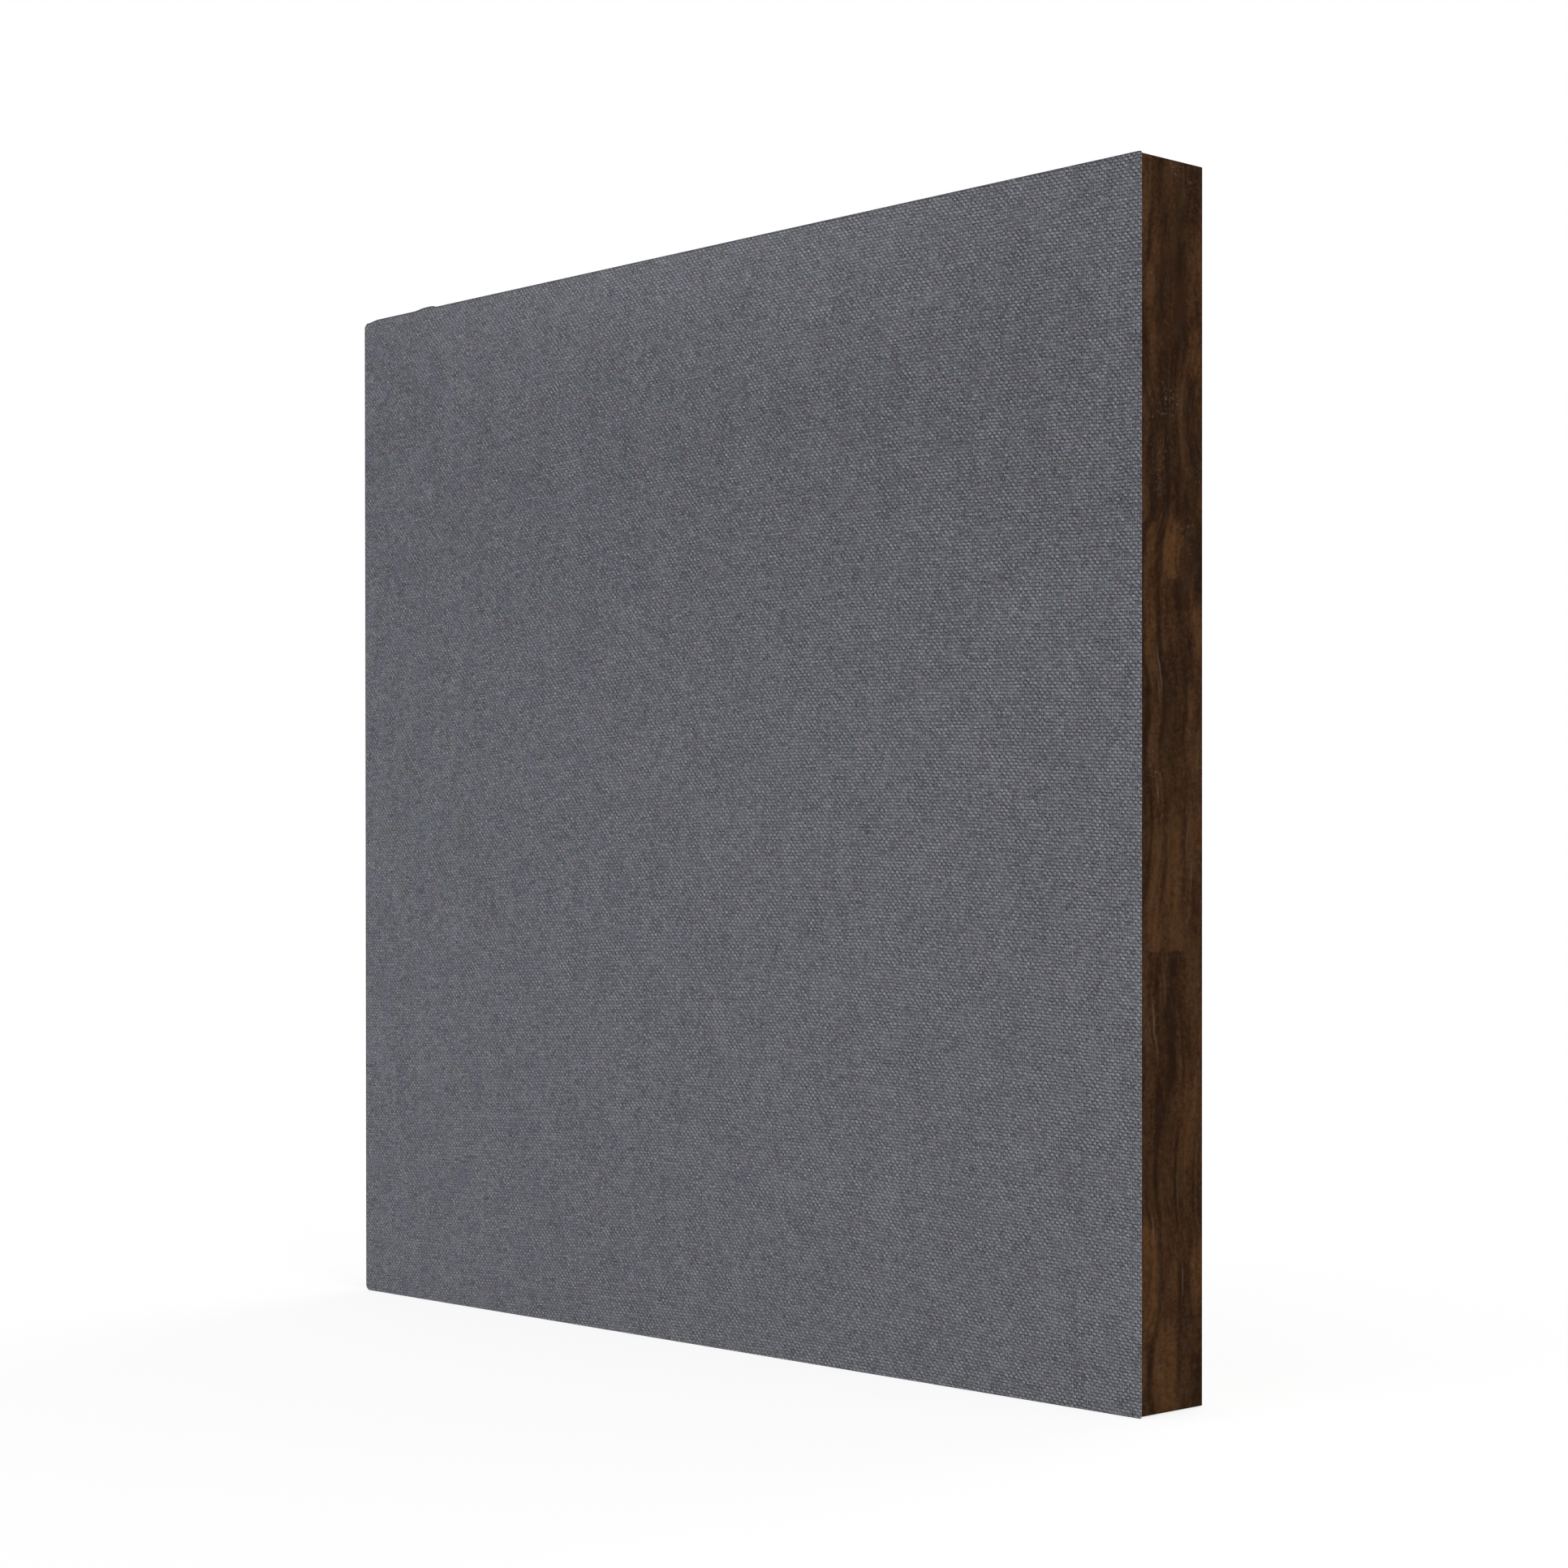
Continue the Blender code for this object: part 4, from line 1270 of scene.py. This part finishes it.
def dustTree(settings, values):
    tree, given = newTree("dustCloth", "Geometry", values)
    inputs = {"Size X": given["Width"], "Size Y": given["Height"]}
    inputs |= {"Vertices X": given["Columns"], "Vertices Y": given["Rows"]}
    grid = add(tree, "GeometryNodeMeshGrid", inputs)
    # stands upright and faces the back
    inputs = {"Geometry": grid, "Translation": join(0.0, given["Depth"], given["Middle"])}
    upright = add(tree, "GeometryNodeTransform", {**inputs, "Rotation": (-math.pi / 2, 0, 0)})
    place = add(tree, "GeometryNodeInputPosition")
    x, _, z = split(place)
    fromMiddle = abs(z - given["Middle"])
    outX = given["Width"] * 0.5 - abs(x)
    outZ = given["Height"] * 0.5 - fromMiddle
    # flat on the ledges, under the batten and under the corner plates
    free = spread(calc("MINIMUM", outX, outZ), given["Ledge"], given["Free"], smooth=True)
    battenEdge = given["Batten Half"] + given["Batten Clear"]
    offBatten = spread(fromMiddle, battenEdge, battenEdge + given["Batten Fade"], smooth=True)
    corner, reach = outX + outZ, given["Corner Reach"]
    offCorner = spread(corner, reach, reach + given["Corner Fade"], smooth=True)
    billow = speckle(place, *settings["billow"])
    slack = free * (offBatten * offCorner) * given["Slack"] * billow
    # small folds run out from each staple
    nearest = add(tree, "GeometryNodeProximity", {0: given["Geometry"]}, target_element="POINTS")
    nearX, _, nearZ = split(nearest.of("Position"))
    folds = abs(calc("SINE", calc("ARCTAN2", z - nearZ, x - nearX) * 3.5))
    away = nearest.of("Distance") / given["Pucker Reach"]
    fade = away * calc("EXPONENT", away * -1.6)
    clear = offBatten * spread(corner, reach - given["Corner Pucker"], reach)
    pucker = folds * fade * (given["Pucker"] * clear)
    inputs = {"Geometry": upright, "Offset": join(0.0, slack + pucker, 0.0)}
    moved = add(tree, "GeometryNodeSetPosition", inputs)
    return finishShape(add(tree, "GeometryNodeSetShadeSmooth", {"Geometry": moved}), given)


def dustMaterial(settings):
    material, place = newMaterial("blackFleece", Roughness=0.9, Specular_IOR_Level=0.2)
    x, y, z = split(place)
    # the fleece is pressed together in rows of small dots
    dotX, dotZ = (calc("FRACT", cell / settings["bondPitch"]) - 0.5 for cell in (x + z, x - z))
    bond = spread(calc("SQRT", dotX ** 2.0 + dotZ ** 2.0), 0.30, 0.16, smooth=True)
    fibres, clumps = (speckle(place, *settings[part]) for part in ("fibres", "clumps"))
    colour = ramp(fibres + (clumps - 0.5) * 0.6, (0.35, settings["dark"]), (0.7, settings["light"]))
    colour = blendColour(bond * 0.5, colour, settings["dark"])
    return finishMaterial(material, colour, fibres * 0.5 - bond, settings["relief"])


def addDustCloth(settings, staplePoints):
    width, height = scrimHigh.x - scrimLow.x, scrimHigh.z - scrimLow.z
    gussetLow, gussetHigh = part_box("gusset_bottom_left")
    values = {
        "Width": width,
        "Height": height,
        "Columns": round(width / settings["step"]),
        "Rows": round(height / settings["step"]),
        "Middle": middle,
        "Depth": scrimHigh.y,
        **settings["shape"],
        "Batten Half": (plyHigh.z - plyLow.z) / 2,
        "Corner Reach": gussetHigh.x - gussetLow.x + settings["flatCorner"],
        "Finish": dustMaterial(settings),
    }
    points = pointMesh("dustPoints", staplePoints)
    mesh = shapeWith(dustTree(settings, values), points, values, settings["wall"])
    piece = finishPiece(newPiece("dust_cloth_sheet", mesh, values["Finish"]), "dust_cloth", "rear_scrim")


addDustCloth(dustSettings, staplePlaces(stapleSettings)[0])
print("dust cloth made")


# keyhole plates, with their pressed edges eased

plateSettings = {"width": 0.00022, "segments": 2, "limit_method": "ANGLE", "angle_limit": math.radians(50)}


def addPlates(settings, material):
    for name in [name for name in cad if name.startswith("keyhole_plate")]:
        mesh = cad[name].data.copy()
        work = bmesh.new()
        work.from_mesh(mesh)
        bmesh.ops.remove_doubles(work, verts=work.verts, dist=1e-6)
        bmesh.ops.dissolve_limit(work, angle_limit=math.radians(1), verts=work.verts, edges=work.edges)
        work.to_mesh(mesh)
        work.free()
        guide = placeInScene("eased", mesh)
        addChange(guide, "BEVEL", **settings)
        finishPiece(newPiece(name + "_pressed", shadeSoft(baked(guide), 30), material), "zinc", name)


addPlates(plateSettings, zinc)
print("keyhole plates made")


# screws, each on the place of its solid

plyScrewSettings = {
    "Head Radius": 0.0034,
    "Head Depth": 0.0020,
    "Rim": 0.00025,
    "Shank Radius": 0.0017,
    "Length": 0.020,
    "Point Length": 1.9,  # in radii of the shank
    "Recess Reach": 0.0019,
    "Recess Arm": 0.0006,
    "Recess Depth": 0.0012,
    "Recess Taper": 0.45,  # width of the cutter's foot, beside its top
    "Sides": 32,
    "Seed": 5,
}

plateScrewSettings = {
    "Head Radius": 0.0030,
    "Head Depth": 0.0012,
    "Shank Radius": 0.0014,
    "Length": 0.0065,
    "Recess Reach": 0.0016,
    "Recess Arm": 0.0005,
    "Recess Depth": 0.0009,
}


def screwTree(values):
    tree, given = newTree("countersunkScrews", "Geometry", values)

    def cone(height, top, bottom, depth):
        inputs = {"Vertices": given["Sides"], "Radius Top": top, "Radius Bottom": bottom, "Depth": depth}
        made = add(tree, "GeometryNodeMeshCone", inputs)
        inputs = {"Geometry": made, "Translation": join(0.0, 0.0, height)}
        return add(tree, "GeometryNodeTransform", inputs)

    def hull(*pieces):
        joined = several(add(tree, "GeometryNodeJoinGeometry"), "Geometry", *reversed(pieces))
        return add(tree, "GeometryNodeConvexHull", {"Geometry": joined})

    # the head is the hull of its flat rim and the neck, and the shank that of a rod and its point
    rim = cone(-given["Rim"], given["Head Radius"], given["Head Radius"], given["Rim"])
    neck = cone(-given["Head Depth"], given["Shank Radius"], given["Shank Radius"], given["Rim"])
    head = hull(rim, neck)
    pointLength = given["Shank Radius"] * given["Point Length"]
    rodLength = given["Length"] - pointLength - given["Head Depth"] * 0.5
    rodRadius = given["Shank Radius"] * 0.97
    rod = cone(pointLength - given["Length"], rodRadius, rodRadius, rodLength)
    shank = hull(rod, cone(-given["Length"], 0.0001, 0.00005, 0.0002))
    whole = add(tree, "GeometryNodeMeshBoolean", operation="UNION", solver="EXACT")
    several(whole, "Mesh 2", shank, head)
    # the cross recess narrows towards its floor
    size = join(*(given[name] * 2.0 for name in ("Recess Reach", "Recess Arm", "Recess Depth")))
    bar = add(tree, "GeometryNodeMeshCube", {"Size": size})
    x, y, z = split(add(tree, "GeometryNodeInputPosition"))
    narrow = blendNumber(calc("LESS_THAN", z, 0.0), 1.0, given["Recess Taper"])
    inputs = {"Geometry": bar, "Position": join(x * narrow, y * narrow, z)}
    tapered = add(tree, "GeometryNodeSetPosition", inputs)
    crossed = add(tree, "GeometryNodeTransform", {"Geometry": tapered, "Rotation": (0, 0, math.pi / 2)})
    cut = add(tree, "GeometryNodeMeshBoolean", {"Mesh 1": whole}, operation="DIFFERENCE", solver="EXACT")
    several(cut, "Mesh 2", tapered, crossed)
    # each screw stops at its own turn
    turn = join(-math.pi / 2, randomTurn(given["Seed"], 0.0, math.pi / 2), 0.0)
    inputs = {"Points": given["Geometry"], "Instance": cut, "Rotation": turn}
    return finishShape(add(tree, "GeometryNodeInstanceOnPoints", inputs), given)


def addScrews(name, starts, settings, material, slot):
    replaced = [node for node in cad if node.startswith(starts)]
    points = []
    for node in replaced:
        low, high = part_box(node)
        points.append(((low.x + high.x) / 2, high.y, (low.z + high.z) / 2))
    mesh = shapeWith(screws, pointMesh(name + "Points", points), {**settings, "Finish": material})
    finishPiece(newPiece(name, shadeSoft(mesh, 35), material), slot, *replaced)


screws = screwTree({**plyScrewSettings, "Finish": blackSteel})
addScrews("ply_screws", ("gusset_screw", "batten_screw"), plyScrewSettings, blackSteel, "black_screw")
addScrews("plate_screws", ("plate_screw",), plateScrewSettings, zinc, "zinc")
print("screws made")
